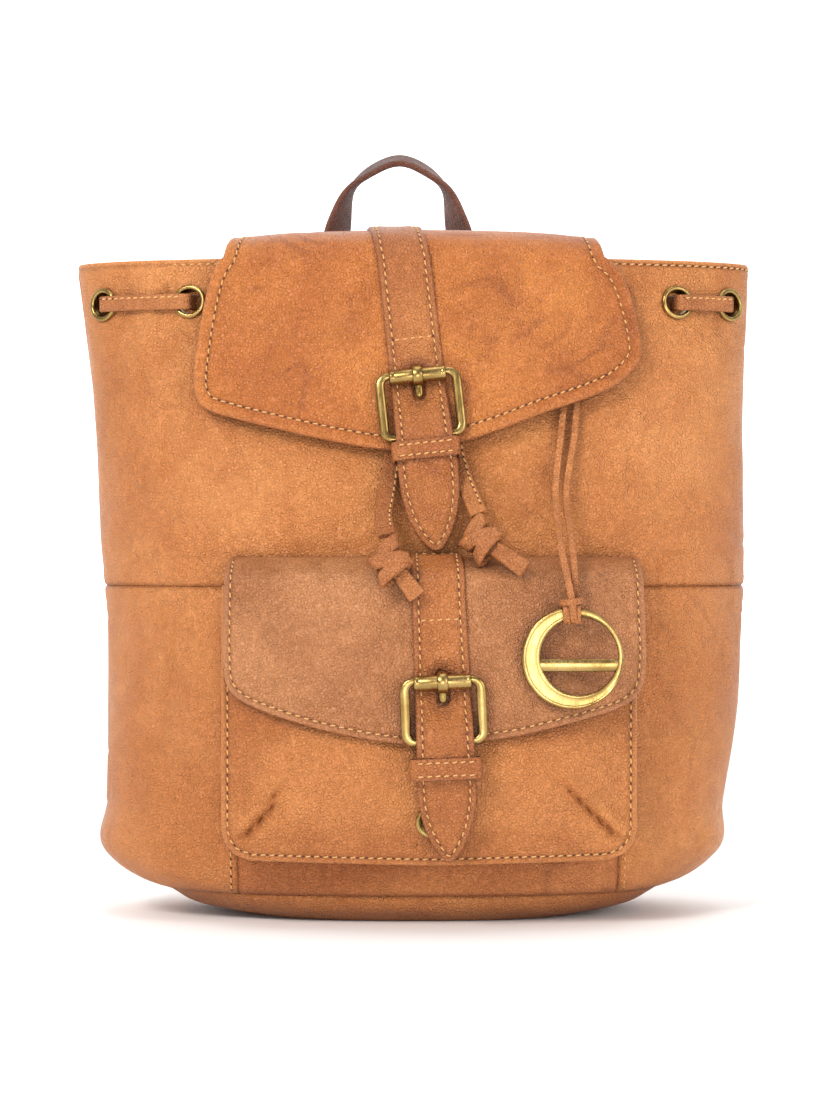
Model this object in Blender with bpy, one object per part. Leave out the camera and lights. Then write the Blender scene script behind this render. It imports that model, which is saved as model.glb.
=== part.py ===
"""A leather drawstring backpack with a buckled flap, a front pocket, a carrying handle and two shoulder straps.

Metres, +Z up, the bag stands on z = 0, its front faces -Y and +X is to the viewer's right.
Every leather panel, lining, fitting and strap is an object of its own.
"""

import math

import bpy
import numpy as np
from mathutils import Vector
from mathutils.geometry import delaunay_2d_cdt

# ---- driving dimensions -------------------------------------------------------------------------
GAP = 0.0003  # left between neighbours
LEATHER = 0.0020  # body panels
STRAP = 0.0018  # strap and flap leather
RIM_Z = 0.3330
FLOOR_SEAM_Z = 0.0135  # where the walls meet the bottom panel
WAIST_SEAM_Z = 0.1675  # seam round the bag between upper and lower panels
FRONT_SEAMS = (-0.0880, 0.1020)  # x of the upright seams below the waist
EYELET_Z = 0.3112
EYELET_HOLE = 0.0060  # radii
EYELET_FLANGE = 0.0087
FACING_BOTTOM_Z = 0.2940
ROWS = (0.018, 0.024, 0.030, 0.042, 0.056, 0.078, 0.102, 0.126, 0.148, 0.190, 0.215, 0.240, 0.266, 0.290, 0.3112)

# Cross-sections of the body: height, half width left and right, depth front and back, squareness.
SECTIONS = np.array([
    (0.000, 0.086, 0.086, 0.0580, 0.054, 2.6),
    (0.004, 0.108, 0.107, 0.0645, 0.060, 2.6),
    (0.012, 0.126, 0.125, 0.0700, 0.065, 2.6),
    (0.018, 0.141, 0.140, 0.0730, 0.068, 2.7),
    (0.030, 0.158, 0.156, 0.0760, 0.070, 2.7),
    (0.056, 0.160, 0.160, 0.0790, 0.070, 2.6),
    (0.100, 0.1595, 0.167, 0.0800, 0.070, 2.5),
    (0.150, 0.1585, 0.169, 0.0780, 0.067, 2.4),
    (0.200, 0.163, 0.1705, 0.0720, 0.062, 2.3),
    (0.260, 0.167, 0.170, 0.0610, 0.055, 2.2),
    (0.300, 0.170, 0.1725, 0.0540, 0.050, 2.1),
    (0.340, 0.1745, 0.174, 0.0495, 0.0455, 1.95),
])

FLAP_LINING = 0.0014  # the flap's lining and the gap over it
FLAP_CLEAR = 0.0062  # the closed flap's back stands this far off the body front
FLAP_TOP = 0.108  # length of the flap from its hinge over the top
FLAP_FRONT_Z = 0.331  # height where the flap turns down the front
FLAP_HINGE = (0.0, 0.0485, 0.3365)
POCKET_DEPTH = 0.0205
POCKET_FLAP_CLEAR = 0.0245  # of the pocket flap's back from the body front
POCKET_FLAP_Z = 0.1800  # hinge height of the pocket flap
POCKET_TURN = 0.028  # length of the pocket flap's turn over the pocket top
POCKET_FRONT_Z = 0.164

BUCKLE = {
    "main": {"x": 0.0017, "q": 0.0607, "lean": math.radians(6.3), "heel": 0.0306, "half": 0.0192,
             "keeper": (0.0334, 0.0430), "keeper_half": 0.0168, "roller_half": 0.0140},
    "pocket": {"x": 0.0137, "q": 0.0707, "lean": math.radians(2.4), "heel": 0.0287, "half": 0.0186,
               "keeper": (0.0365, 0.0470), "keeper_half": 0.0174, "roller_half": 0.0139},
}
ROLLER_H = 0.0061  # height of the roller's axis over the flap
ROLLER_R = 0.0037
HEEL_H = 0.0045
BAR_OFFSET = 0.0009  # the roller hangs this much below the bar inside it
SNAP_SHIFT = {"main": 0.0, "pocket": 0.0085}  # the closed strap's stud lies this far beside its socket

HANDLE_PIVOT = (0.0, 0.0570, 0.3130)
RING_CENTRE = (0.0767, -0.1085, 0.1330)
RING_R = 0.0247
RING_HOLE_R = 0.0188
RING_HOLE_SHIFT = (0.0034, 0.0010)
RING_HALF_THICK = 0.0014
LACE_TOP = (0.0785, 0.2960)
LACE_START_Z = 0.2900
SHOULDER_FOOT = (0.112, 0.0110, 0.040)  # x, distance off the back, height

COLOURS = {  # linear base colour, roughness, metallic
    "tan": ((0.56, 0.24, 0.10), 0.50, 0.0),
    "flap": ((0.60, 0.26, 0.09), 0.45, 0.0),
    "dark": ((0.25, 0.075, 0.035), 0.55, 0.0),
    "brass": ((0.42, 0.32, 0.13), 0.35, 1.0),
    "lining": ((0.16, 0.10, 0.06), 0.90, 0.0),
    "board": ((0.30, 0.26, 0.20), 0.85, 0.0),
}


# ---- curves and meshes --------------------------------------------------------------------------
def table(z, column):
    """A smooth value between the rows of SECTIONS, for a scalar height."""
    heights, values = SECTIONS[:, 0], SECTIONS[:, column]
    slopes = np.gradient(values, heights)
    i = int(np.clip(np.searchsorted(heights, z) - 1, 0, len(heights) - 2))
    step = heights[i + 1] - heights[i]
    t = float(np.clip((z - heights[i]) / step, 0.0, 1.0))
    return (
        (2 * t**3 - 3 * t**2 + 1) * values[i] + (t**3 - 2 * t**2 + t) * step * slopes[i]
        + (3 * t**2 - 2 * t**3) * values[i + 1] + (t**3 - t**2) * step * slopes[i + 1]
    )


def smooth(points, count, closed=False):
    """COUNT points along the Catmull-Rom curve through these points."""
    pts = np.array(points, float)
    n = len(pts)
    spans = n if closed else n - 1
    found = []
    for k in range(count):
        u = spans * k / (count if closed else count - 1)
        i = min(int(u), spans - 1)
        t = u - i
        if closed:
            a, b, c, d = (pts[(i + j) % n] for j in (-1, 0, 1, 2))
        else:
            a, b, c, d = (pts[min(max(i + j, 0), n - 1)] for j in (-1, 0, 1, 2))
        found.append(0.5 * (2 * b + (c - a) * t + (2 * a - 5 * b + 4 * c - d) * t**2
                            + (3 * b - 3 * c + d - a) * t**3))
    return np.array(found)


def material(name):
    made = bpy.data.materials.get(name)
    if made:
        return made
    colour, rough, metal = COLOURS[name]
    made = bpy.data.materials.new(name)
    made.use_nodes = True
    shader = made.node_tree.nodes["Principled BSDF"]
    shader.inputs["Base Color"].default_value = (*colour, 1.0)
    shader.inputs["Roughness"].default_value = rough
    shader.inputs["Metallic"].default_value = metal
    made.diffuse_color = (*colour, 1.0)
    return made


def add(name, verts, faces, finish, pivot=(0.0, 0.0, 0.0)):
    """A smooth-shaded object whose origin is its pivot."""
    origin = Vector(pivot)
    mesh = bpy.data.meshes.new(name)
    mesh.from_pydata([tuple(Vector(v) - origin) for v in verts], [], faces)
    mesh.validate()
    mesh.shade_smooth()
    mesh.set_sharp_from_angle(angle=math.radians(40))
    mesh.materials.append(material(finish))
    obj = bpy.data.objects.new(name, mesh)
    obj.location = origin
    bpy.context.scene.collection.objects.link(obj)
    return obj


def rings(name, loops, finish, closed=False, pivot=(0.0, 0.0, 0.0), laddered=False):
    """Equal closed loops of points skinned in order; the ends are capped, or joined if closed.

    A laddered cap runs in strips between the loop's first half and its second half.
    """
    n = len(loops[0])
    verts = [p for loop in loops for p in loop]
    faces = []
    for k in range(len(loops) if closed else len(loops) - 1):
        a, b = k * n, ((k + 1) % len(loops)) * n
        faces += [(a + i, a + (i + 1) % n, b + (i + 1) % n, b + i) for i in range(n)]
    end = (len(loops) - 1) * n
    if laddered:
        for i in range(n // 2 - 1):
            step = (i, i + 1, n - 2 - i, n - 1 - i)
            faces += [tuple(reversed(step)), tuple(end + j for j in step)]
    elif not closed:
        faces += [tuple(reversed(range(n))), tuple(range(end, end + n))]
    obj = add(name, verts, faces, finish, pivot)
    return outward(obj)


def outward(obj):
    """Turns every face out if the closed mesh came out inside out."""
    mesh = obj.data
    mesh.calc_loop_triangles()
    volume = 0.0
    for tri in mesh.loop_triangles:
        a, b, c = (mesh.vertices[i].co for i in tri.vertices)
        volume += a.dot(b.cross(c))
    if volume < 0:
        mesh.flip_normals()
    return obj


def inside(points, loop):
    """Which of these 2-D points lie inside the loop."""
    x, y = points[:, 0], points[:, 1]
    found = np.zeros(len(points), bool)
    for (ax, ay), (bx, by) in zip(loop, np.roll(loop, -1, axis=0)):
        if ay == by:
            continue
        crosses = ((ay > y) != (by > y)) & (x < (bx - ax) * (y - ay) / (by - ay) + ax)
        found ^= crosses
    return found


def edge_distance(points, loop):
    ends = np.roll(loop, -1, axis=0)
    along = ends - loop
    size = np.maximum((along**2).sum(1), 1e-12)
    t = np.clip(((points[:, None] - loop) * along).sum(2) / size, 0, 1)
    return np.sqrt((((loop + t[..., None] * along) - points[:, None]) ** 2).sum(2)).min(1)


def divided(loop, most):
    """The loop with its long sides divided."""
    found = []
    for a, b in zip(np.array(loop, float), np.roll(np.array(loop, float), -1, axis=0)):
        pieces = max(1, math.ceil(np.linalg.norm(b - a) / most))
        found += [a + (b - a) * k / pieces for k in range(pieces)]
    return np.array(found)


def sheet(name, outline, place, spacing, finish, holes=(), inner=(), pivot=(0.0, 0.0, 0.0)):
    """A cut of leather: outline in flat coordinates, laid on two surfaces, place(u, v, 0) and place(u, v, 1).

    HOLES are cut out, and INNER loops are lines that the mesh follows.
    """
    loops = [divided(outline, spacing)] + [np.array(loop, float) for loop in holes]
    low, high = loops[0].min(0), loops[0].max(0)
    counts = np.maximum(np.ceil((high - low) / spacing).astype(int), 1)
    grid = np.array([(u, v) for u in np.linspace(low[0], high[0], counts[0] + 1)[1:-1]
                     for v in np.linspace(low[1], high[1], counts[1] + 1)[1:-1]]).reshape(-1, 2)
    if len(grid):
        keep = inside(grid, loops[0])
        for loop in [*loops, *inner]:
            keep &= edge_distance(grid, loop) > 0.45 * spacing
        for loop in loops[1:]:
            keep &= ~inside(grid, loop)
        grid = grid[keep]
    points, edges = np.vstack([*loops, *inner, grid]), []
    start = 0
    for loop in [*loops, *inner]:
        edges += [(start + i, start + (i + 1) % len(loop)) for i in range(len(loop))]
        start += len(loop)
    found = delaunay_2d_cdt([Vector(p) for p in points], edges, [], 0, 1e-9)
    flat = np.array([tuple(v) for v in found[0]])
    faces = np.array([f for f in found[2]])
    centres = flat[faces].mean(1)
    keep = inside(centres, loops[0])
    for loop in loops[1:]:
        keep &= ~inside(centres, loop)
    faces = [tuple(int(i) for i in f) for f in faces[keep]]
    n = len(flat)
    once = {}
    for f in faces:
        for i in range(3):
            once[(f[i], f[(i + 1) % 3])] = True
    border = [e for e in once if (e[1], e[0]) not in once]
    verts = [place(u, v, 0) for u, v in flat] + [place(u, v, 1) for u, v in flat]
    skin = [tuple(reversed(f)) for f in faces] + [tuple(i + n for i in f) for f in faces]
    skin += [(a, b, b + n, a + n) for a, b in border]
    return outward(add(name, verts, skin, finish, pivot))


def swept(name, path, wide, half_width, half_thick, finish, sides=4, pivot=(0.0, 0.0, 0.0), closed=False):
    """A strip or bar along a path. WIDE is the direction of its width at each point."""
    path = [Vector(p) for p in path]
    n = len(path)
    widths = np.broadcast_to(half_width, n)
    thicks = np.broadcast_to(half_thick, n)
    loops = []
    for i, p in enumerate(path):
        ahead = path[(i + 1) % n] if closed or i < n - 1 else p
        behind = path[i - 1] if closed or i > 0 else p
        along = (ahead - behind).normalized()
        w = Vector(wide[i] if len(wide) == n else wide[0])
        w = (w - along * w.dot(along)).normalized()
        t = along.cross(w)
        if sides == 4:
            corners = [(1, 1), (-1, 1), (-1, -1), (1, -1)]
        else:
            turns = [2 * math.pi * (k + 0.5) / sides for k in range(sides)]
            corners = [(math.cos(a), math.sin(a)) for a in turns]
        loops.append([p + w * (a * widths[i]) + t * (b * thicks[i]) for a, b in corners])
    return rings(name, loops, finish, closed, pivot)


def turned(name, profile, centre, axis, finish, sides=20, closed=True, pivot=(0.0, 0.0, 0.0)):
    """A turned ring or plug: profile of (radius, distance along the axis)."""
    axis = Vector(axis).normalized()
    side = axis.orthogonal().normalized()
    other = axis.cross(side)
    loops = []
    for radius, along in profile:
        turns = [2 * math.pi * k / sides for k in range(sides)]
        loops.append([Vector(centre) + axis * along + (side * math.cos(a) + other * math.sin(a)) * radius
                      for a in turns])
    return rings(name, loops, finish, closed, pivot)


def cut(obj, cutter):
    cutter.hide_render = True
    cutter.display_type = "WIRE"
    cutter.hide_set(True)
    modifier = obj.modifiers.new("hole", "BOOLEAN")
    modifier.operation = "DIFFERENCE"
    modifier.object = cutter
    return obj


def join(obj, other):
    """Boolean union of two overlapping shapes into the first one."""
    other.hide_render = True
    other.display_type = "WIRE"
    other.hide_set(True)
    modifier = obj.modifiers.new("union", "BOOLEAN")
    modifier.operation = "UNION"
    modifier.object = other
    return obj


# ---- the body's surface -------------------------------------------------------------------------
def body_point(t, z, off=0.0):
    """The body's outside at plan angle T (0 is +X, -90 degrees is the front), OFF outwards."""
    c, s = math.cos(t), math.sin(t)
    half = table(z, 2) if c > 0 else table(z, 1)
    depth = table(z, 4) if s > 0 else table(z, 3)
    n = table(z, 5)
    x = math.copysign(half * abs(c) ** (2 / n), c)
    y = math.copysign(depth * abs(s) ** (2 / n), s)
    nx = math.copysign(abs(x / half) ** (n - 1) / half, x)
    ny = math.copysign(abs(y / depth) ** (n - 1) / depth, y)
    size = math.hypot(nx, ny)
    return Vector((x + off * nx / size, y + off * ny / size, z))


def wall_y(x, z, column):
    half = table(z, 2) if x > 0 else table(z, 1)
    n = table(z, 5)
    return table(z, column) * max(1 - abs(x / half) ** n, 0.0) ** (1 / n)


def front_y(x, z):
    return -wall_y(x, z, 3)


def back_y(x, z):
    return wall_y(x, z, 4)


def front_angle(x, z):
    half = table(z, 2) if x > 0 else table(z, 1)
    return -math.acos(math.copysign(abs(x / half) ** (table(z, 5) / 2), x))


def wall_direction(t, z):
    """Level direction straight out of the wall."""
    return (body_point(t, z, 0.01) - body_point(t, z)).normalized()


def wall_normal(t, z):
    """The wall's true normal, its slope included."""
    across = body_point(t + 0.01, z) - body_point(t - 0.01, z)
    up = body_point(t, z + 0.004) - body_point(t, z - 0.004)
    return across.cross(up).normalized()


def angles(start, end, count):
    return [start + (end - start) * k / count for k in range(count + 1)]


def levels(z0, z1):
    """Heights of the mesh rows from one height to another, the same for neighbouring panels."""
    return [z0] + [z for z in ROWS if z0 + 0.003 < z < z1 - 0.003] + [z1]


def panel(name, start, end, z0, z1, columns, finish):
    """A body panel between two sides, each a plan angle for every height, and two heights."""
    loops, heights = [], levels(z0, z1)
    for f in angles(0.0, 1.0, columns):
        column = [(start(z) + (end(z) - start(z)) * f, z) for z in heights]
        loops.append([body_point(t, z) for t, z in column] + [body_point(t, z, -LEATHER) for t, z in reversed(column)])
    return rings(name, loops, finish, laddered=True)


def band(name, z0, z1, count, finish, outside, thick):
    """A full ring of material inside the wall."""
    loops, heights = [], levels(z0, z1)
    for t in angles(0, 2 * math.pi, count)[:-1]:
        outer = [body_point(t, z, outside) for z in heights]
        loops.append(outer + [body_point(t, z, outside - thick) for z in reversed(heights)])
    return rings(name, loops, finish, closed=True)


def dish(name, heights, inset, lift, thick, count, finish):
    """A tray that follows the body's outside from its floor up, inset and lifted from it."""
    def loop(z, inward, up):
        return [body_point(t, z, -inward) + Vector((0, 0, up)) for t in angles(0, 2 * math.pi, count)[:-1]]

    outer = [loop(z, inset, lift) for z in heights]
    inner = [loop(z, inset + thick, lift + thick) for z in heights]
    inner[-1] = [Vector((p.x, p.y, heights[-1] + lift)) for p in inner[-1]]
    n, rows = count, len(heights)
    verts = [p for ring in outer + inner for p in ring]
    faces = [tuple(reversed(range(n))), tuple(range(rows * n, rows * n + n))]
    for k in range(rows - 1):
        for i in range(n):
            j = (i + 1) % n
            a, b = k * n, (k + 1) * n
            faces.append((a + i, a + j, b + j, b + i))
            a, b = (rows + k) * n, (rows + k + 1) * n
            faces.append((a + j, a + i, b + i, b + j))
    a, b = (rows - 1) * n, (2 * rows - 1) * n
    faces += [(a + i, a + (i + 1) % n, b + (i + 1) % n, b + i) for i in range(n)]
    return outward(add(name, verts, faces, finish))


# ---- body ---------------------------------------------------------------------------------------
EYELET_X = {"1": (-0.159, "front"), "2": (-0.1135, "front"), "3": (-0.070, "front"),
            "4": (0.090, "front"), "5": (0.1337, "front"), "6": (0.1616, "front"),
            "7": (0.132, "back"), "8": (0.067, "back"), "9": (-0.067, "back"), "10": (-0.132, "back")}


def eyelet_angle(key):
    x, side = EYELET_X[key]
    t = front_angle(x, EYELET_Z)
    return t if side == "front" else -t


def make_body():
    seam = 2 * GAP / 0.16  # plan angle of half the gap between panels
    around = 2 * math.pi

    def side(degrees, shift):
        return lambda z: math.radians(degrees) + shift

    def upright(x, shift):
        return lambda z: front_angle(x, z) + shift

    dish("bottom_panel", [0.0, 0.002, 0.004, 0.008, FLOOR_SEAM_Z - GAP], 0.0, 0.0, LEATHER, 40, "tan")
    rings("base_board", [[body_point(t, 0.0, -0.004) + Vector((0, 0, z)) for t in angles(0, around, 36)[:-1]]
                         for z in (0.0024, 0.0046)], "board")
    low = FLOOR_SEAM_Z
    waist = WAIST_SEAM_Z - GAP
    panel("lower_front_panel", upright(FRONT_SEAMS[0], seam), upright(FRONT_SEAMS[1], -seam), low, waist, 10, "tan")
    panel("lower_left_panel", side(160, seam - around), upright(FRONT_SEAMS[0], -seam), low, waist, 9, "tan")
    panel("lower_right_panel", upright(FRONT_SEAMS[1], seam), side(20, -seam), low, waist, 9, "tan")
    front = panel("upper_front_panel", side(160, seam - around), side(20, -seam), WAIST_SEAM_Z, RIM_Z, 32, "tan")
    back = panel("back_panel", side(20, seam), side(160, -seam), low, RIM_Z, 18, "tan")
    facing = band("rim_facing", FACING_BOTTOM_Z, RIM_Z - 0.0006, 46, "tan", -LEATHER - 0.0009, 0.0010)
    dish("lining_bag", [0.0, 0.004, 0.010, 0.016, 0.028, 0.09, 0.16, 0.22, FACING_BOTTOM_Z - 0.0062],
         0.0046, 0.0056, 0.0008, 40, "lining")
    for key in EYELET_X:
        make_eyelet(key, front if EYELET_X[key][1] == "front" else back, facing)
    make_inner_pocket()
    make_drawstring()


def make_eyelet(key, wall, facing):
    """A brass eyelet through the wall and the facing behind it, with the hole that it fills."""
    t = eyelet_angle(key)
    centre, axis = body_point(t, EYELET_Z), wall_normal(t, EYELET_Z)
    drill = turned("cutter_eyelet_" + key, [(EYELET_HOLE + 0.0011, -0.012), (EYELET_HOLE + 0.0011, 0.012)],
                   centre, axis, "brass", 16, closed=False)
    cut(wall, drill)
    cut(facing, drill)
    r, flange = EYELET_HOLE, EYELET_FLANGE
    profile = [(r, 0.0018), (flange - 0.001, 0.0018), (flange, 0.0009), (flange, 0.0006),
               (r + 0.0007, 0.0006), (r + 0.0007, -0.0053), (flange, -0.0053), (flange, -0.0060), (r, -0.0060)]
    turned("eyelet_" + key, profile, centre, axis, "brass", 20)


def make_inner_pocket():
    """A slip pocket sewn to the lining's back."""
    outline = [(-0.072, 0.135), (0.072, 0.135), (0.072, 0.250), (-0.072, 0.250)]

    def place(x, z, k):
        return Vector((x, back_y(x, z) - 0.0092 - 0.0008 * (1 - k), z))

    sheet("inner_pocket", outline, place, 0.03, "lining")


def drawstring_path():
    """Plan route of the drawstring: in and out through the eyelets, from eyelet 3 round the back to eyelet 4."""
    order = ["3", "2", "1", "10", "9", "8", "7", "6", "5", "4"]
    turns = [eyelet_angle(key) for key in order]
    for i in range(1, len(turns)):
        while turns[i] > turns[i - 1]:
            turns[i] -= 2 * math.pi
    out, into, bend = 0.0036, -0.0076, 0.0030
    found = []
    for i, t in enumerate(turns):
        centre, normal = body_point(t, EYELET_Z), wall_direction(t, EYELET_Z)
        along = Vector((normal.y, -normal.x, 0.0))  # towards the next eyelet
        inside_first = i % 2 == 0
        quarter = [math.radians(a) for a in (0, 30, 60, 90)]

        def corner(level, way, run):
            """Points of a quarter turn between a run at this level and the straight way through the hole."""
            sign = 1 if level > 0 else -1
            return [centre + along * run * (bend - bend * math.cos(a))
                    + normal * (level - sign * bend * (1 - math.sin(a))) for a in way]

        leave, arrive = (into, out) if inside_first else (out, into)
        if i == 0:
            found += [centre + normal * 0.0008]
        else:
            found += corner(arrive, list(reversed(quarter)), -1)
        if i == len(turns) - 1:
            found += [centre + normal * 0.0008]
            break
        found += corner(leave, quarter, 1)
        steps = 5
        for k in range(1, steps):
            mid = t + (turns[i + 1] - t) * k / steps
            found.append(body_point(mid, EYELET_Z, leave))
    return found


def make_drawstring():
    swept("drawstring", drawstring_path(), [(0, 0, 1)], 0.0040, 0.0011, "tan")
    for side, key in (("left", "3"), ("right", "4")):
        centre, normal = body_point(eyelet_angle(key), EYELET_Z), wall_direction(eyelet_angle(key), EYELET_Z)
        route = [centre + normal * 0.0018, centre + normal * 0.0030] + [tail_point(*p) for p in TAILS[side]]
        path = smooth([tuple(p) for p in route], 26)
        wide = [(-(b - a).cross(Vector((0, -1, 0)))) for a, b in
                zip([Vector(p) for p in path[:-1]], [Vector(p) for p in path[1:]])]
        wide.append(wide[-1])
        wide[0] = wide[1] = wide[2]
        swept("drawstring_tail_" + side, path, wide, 0.0043, 0.0012, "tan")
        make_knot(side)


# Each tail's route down the body's front: x, z, distance of its middle from the body.
TAILS = {
    "left": ((-0.0640, 0.3030, 0.0036), (-0.0400, 0.2840, 0.0036), (-0.0200, 0.2600, 0.0036),
             (-0.0110, 0.2380, 0.0040), (-0.0125, 0.2180, 0.0070), (-0.0150, 0.2030, 0.0170),
             (-0.0130, 0.1925, 0.0290)),
    "right": ((0.0840, 0.3030, 0.0036), (0.0600, 0.2860, 0.0036), (0.0350, 0.2640, 0.0036),
              (0.0215, 0.2420, 0.0040), (0.0230, 0.2260, 0.0060), (0.0280, 0.2120, 0.0120),
              (0.0320, 0.2030, 0.0190)),
}
KNOTS = {  # knot centre x, z, distance from the body, then the cut end's x, z and distance
    "left": ((-0.0115, 0.1800, 0.0350), (0.0015, 0.1630, 0.0350)),
    "right": ((0.0330, 0.1905, 0.0200), (0.0540, 0.1760, 0.0320)),
}


def tail_point(x, z, off):
    return Vector((x, front_y(x, z) - off, z))


def make_knot(side):
    """The overhand knot at the end of a tail, with the short end below it."""
    centre, end = (tail_point(*p) for p in KNOTS[side])
    loops = []
    for k in range(1, 8):
        a = math.pi * k / 8
        loops.append([centre + Vector((0.0088 * math.sin(a) * math.cos(b), 0.0055 * math.sin(a) * math.sin(b),
                                       0.0092 * math.cos(a))) for b in angles(0, 2 * math.pi, 12)[:-1]])
    knot = rings("drawstring_knot_" + side, loops, "tan")
    stub = swept("cutter_knot_end_" + side, [centre, centre.lerp(end, 0.5), end], [(1, 0, 0.6)],
                 0.0036, 0.0013, "tan")
    join(knot, stub)


# ---- pocket -------------------------------------------------------------------------------------
POCKET_EDGE = np.array([(-0.0946, 0.300), (-0.0946, 0.0480), (-0.0928, 0.0415), (-0.0880, 0.0360), (-0.0800, 0.0332),
                        (0.0075, 0.0312), (0.0950, 0.0332), (0.1030, 0.0360), (0.1079, 0.0415), (0.1097, 0.0480),
                        (0.1097, 0.300)])
POCKET_TOP = 0.1680
POCKET_INSETS = (0.0007, 0.0021, 0.0028, 0.0050)


def pocket_edge_distance(x, z):
    """How far inside the pocket's sewn sides and bottom a point lies."""
    nearest = 1.0
    for a, b in zip(POCKET_EDGE[:-1], POCKET_EDGE[1:]):
        t = np.clip(np.dot((x, z) - a, b - a) / np.dot(b - a, b - a), 0, 1)
        nearest = min(nearest, float(np.hypot(*(a + t * (b - a) - (x, z)))))
    return nearest


def pocket_outside(edge):
    return float(np.interp(edge, (0.0, 0.0007, 0.0021, 0.0050), (0.0016, 0.0165, 0.0190, POCKET_DEPTH)))


def pocket_place(x, z, k):
    """The pocket's outer face (k = 1) and inner face: a steep gusset round three sides and a flat front."""
    edge = pocket_edge_distance(x, z)
    depth = pocket_outside(edge)
    if k == 0:
        depth = float(np.interp(edge, (0.0, 0.0021, 0.0028, 0.0050),
                                (0.0006, 0.0006, 0.0160, POCKET_DEPTH - LEATHER)))
    return Vector((x, front_y(x, z) - depth, z))


def make_pocket():
    """Front and gusset of the pocket in one shell, open at the top, standing on the body."""
    left, right = POCKET_EDGE[1][0], POCKET_EDGE[-2][0]
    top = [(right, POCKET_TOP)] + [(right - d, POCKET_TOP) for d in POCKET_INSETS]
    top += [(left + d, POCKET_TOP) for d in reversed(POCKET_INSETS)] + [(left, POCKET_TOP)]
    outline = top + [tuple(p) for p in POCKET_EDGE[1:-1]]
    inner = []
    for inset in POCKET_INSETS:
        line = shrunk(divided(np.array(outline), 0.014), inset)
        line[:, 1] = np.minimum(line[:, 1], POCKET_TOP - 0.0012 - inset)
        inner.append(line)
    sheet("pocket_body", outline, pocket_place, 0.014, "tan", inner=inner)


# ---- flaps --------------------------------------------------------------------------------------
def chain_point(chain, f):
    """Point at fraction F of a short Catmull-Rom chain."""
    u = max(0.0, min(f, 1.0)) * (len(chain) - 1)
    i = min(int(u), len(chain) - 2)
    t = u - i
    a, b, c, d = (chain[min(max(i + j, 0), len(chain) - 1)] for j in (-1, 0, 1, 2))
    return 0.5 * (2 * b + (c - a) * t + (2 * a - 5 * b + 4 * c - d) * t**2 + (3 * b - 3 * c + d - a) * t**3)


def main_flap_surface(x, q):
    """Back face of the closed main flap. Q runs from -FLAP_TOP at the hinge, 0 at the front's top, down."""
    def front(z):
        return np.array((front_y(x, min(z, 0.336)) - FLAP_CLEAR, z))

    if q >= 0:
        y, z = front(FLAP_FRONT_Z - q)
        return Vector((x, y, z))
    yf, yb = front(FLAP_FRONT_Z)[0], back_y(x, RIM_Z)
    drop = 0.005 * (x / 0.10) ** 4
    chain = [np.array(p) for p in ((yb + 0.002, 0.3365), (0.55 * yb, 0.3440 - drop), (0.0, 0.3462 - drop),
                                   (0.62 * yf, 0.3445 - drop), (yf + 0.0050, 0.3392 - 0.5 * drop))]
    chain += [front(FLAP_FRONT_Z)]
    y, z = chain_point(chain, 1 + q / FLAP_TOP)
    return Vector((x, y, z))


def pocket_flap_surface(x, q):
    """Back face of the closed pocket flap. Q is 0 at its hinge and grows downwards."""
    def front(z):
        return np.array((front_y(x, z) - POCKET_FLAP_CLEAR, z))

    if q >= POCKET_TURN:
        y, z = front(POCKET_FRONT_Z - (q - POCKET_TURN))
        return Vector((x, y, z))
    base = front_y(x, POCKET_FLAP_Z)
    top = POCKET_FLAP_Z
    chain = [np.array(p) for p in ((base - 0.0030, top), (base - 0.0110, top - 0.0006), (base - 0.0190, top - 0.0040))]
    chain += [front(top - 0.0085), front(POCKET_FRONT_Z)]
    y, z = chain_point(chain, q / POCKET_TURN)
    return Vector((x, y, z))


def lifted(surface, x, q, h):
    """A point H above the surface, along its normal."""
    e = 0.0015
    p = surface(x, q)
    across = surface(x + e, q) - surface(x - e, q)
    down = surface(x, q + e) - surface(x, q - e)
    normal = down.cross(across).normalized()
    return p + normal * h


MAIN_OUTLINE = [  # x and height of the front, clockwise from the hinge's left end
    (-0.0960, 0.3330), (-0.1010, 0.3250), (-0.1060, 0.3050), (-0.1100, 0.2740), (-0.1085, 0.2620),
    (-0.1010, 0.2545), (-0.0705, 0.2460), (-0.0350, 0.2380), (-0.0100, 0.2345), (0.0100, 0.2352),
    (0.0400, 0.2440), (0.0630, 0.2530), (0.0820, 0.2595), (0.0984, 0.2665), (0.1085, 0.2745),
    (0.1140, 0.2850), (0.1110, 0.3050), (0.1045, 0.3240), (0.0960, 0.3330),
]
POCKET_FLAP_OUTLINE = [  # x and height
    (-0.0930, 0.1600), (-0.0930, 0.1300), (-0.0900, 0.1170), (-0.0790, 0.1092), (-0.0575, 0.1016),
    (-0.0346, 0.0957), (-0.0059, 0.0911), (0.0150, 0.0908), (0.0346, 0.0928), (0.0541, 0.0957),
    (0.0853, 0.1036), (0.1034, 0.1099), (0.1117, 0.1187), (0.1136, 0.1348), (0.1128, 0.1600),
]


def main_flap_loop():
    curve = smooth([(x, FLAP_FRONT_Z - z) for x, z in MAIN_OUTLINE], 44)
    top = [(0.0930, -0.030), (0.0920, -0.060), (0.0900, -0.085), (0.0880, -FLAP_TOP),
           (0.0, -FLAP_TOP), (-0.0880, -FLAP_TOP), (-0.0900, -0.085), (-0.0920, -0.060), (-0.0935, -0.030)]
    return np.vstack([curve, top])


def pocket_flap_loop():
    curve = smooth([(x, POCKET_TURN + POCKET_FRONT_Z - z) for x, z in POCKET_FLAP_OUTLINE], 40)
    top = [(0.1125, 0.020), (0.1120, 0.010), (0.1112, 0.0), (0.04, 0.0), (-0.03, 0.0), (-0.0920, 0.0),
           (-0.0925, 0.010), (-0.0928, 0.020)]
    return np.vstack([curve, top])


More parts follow.
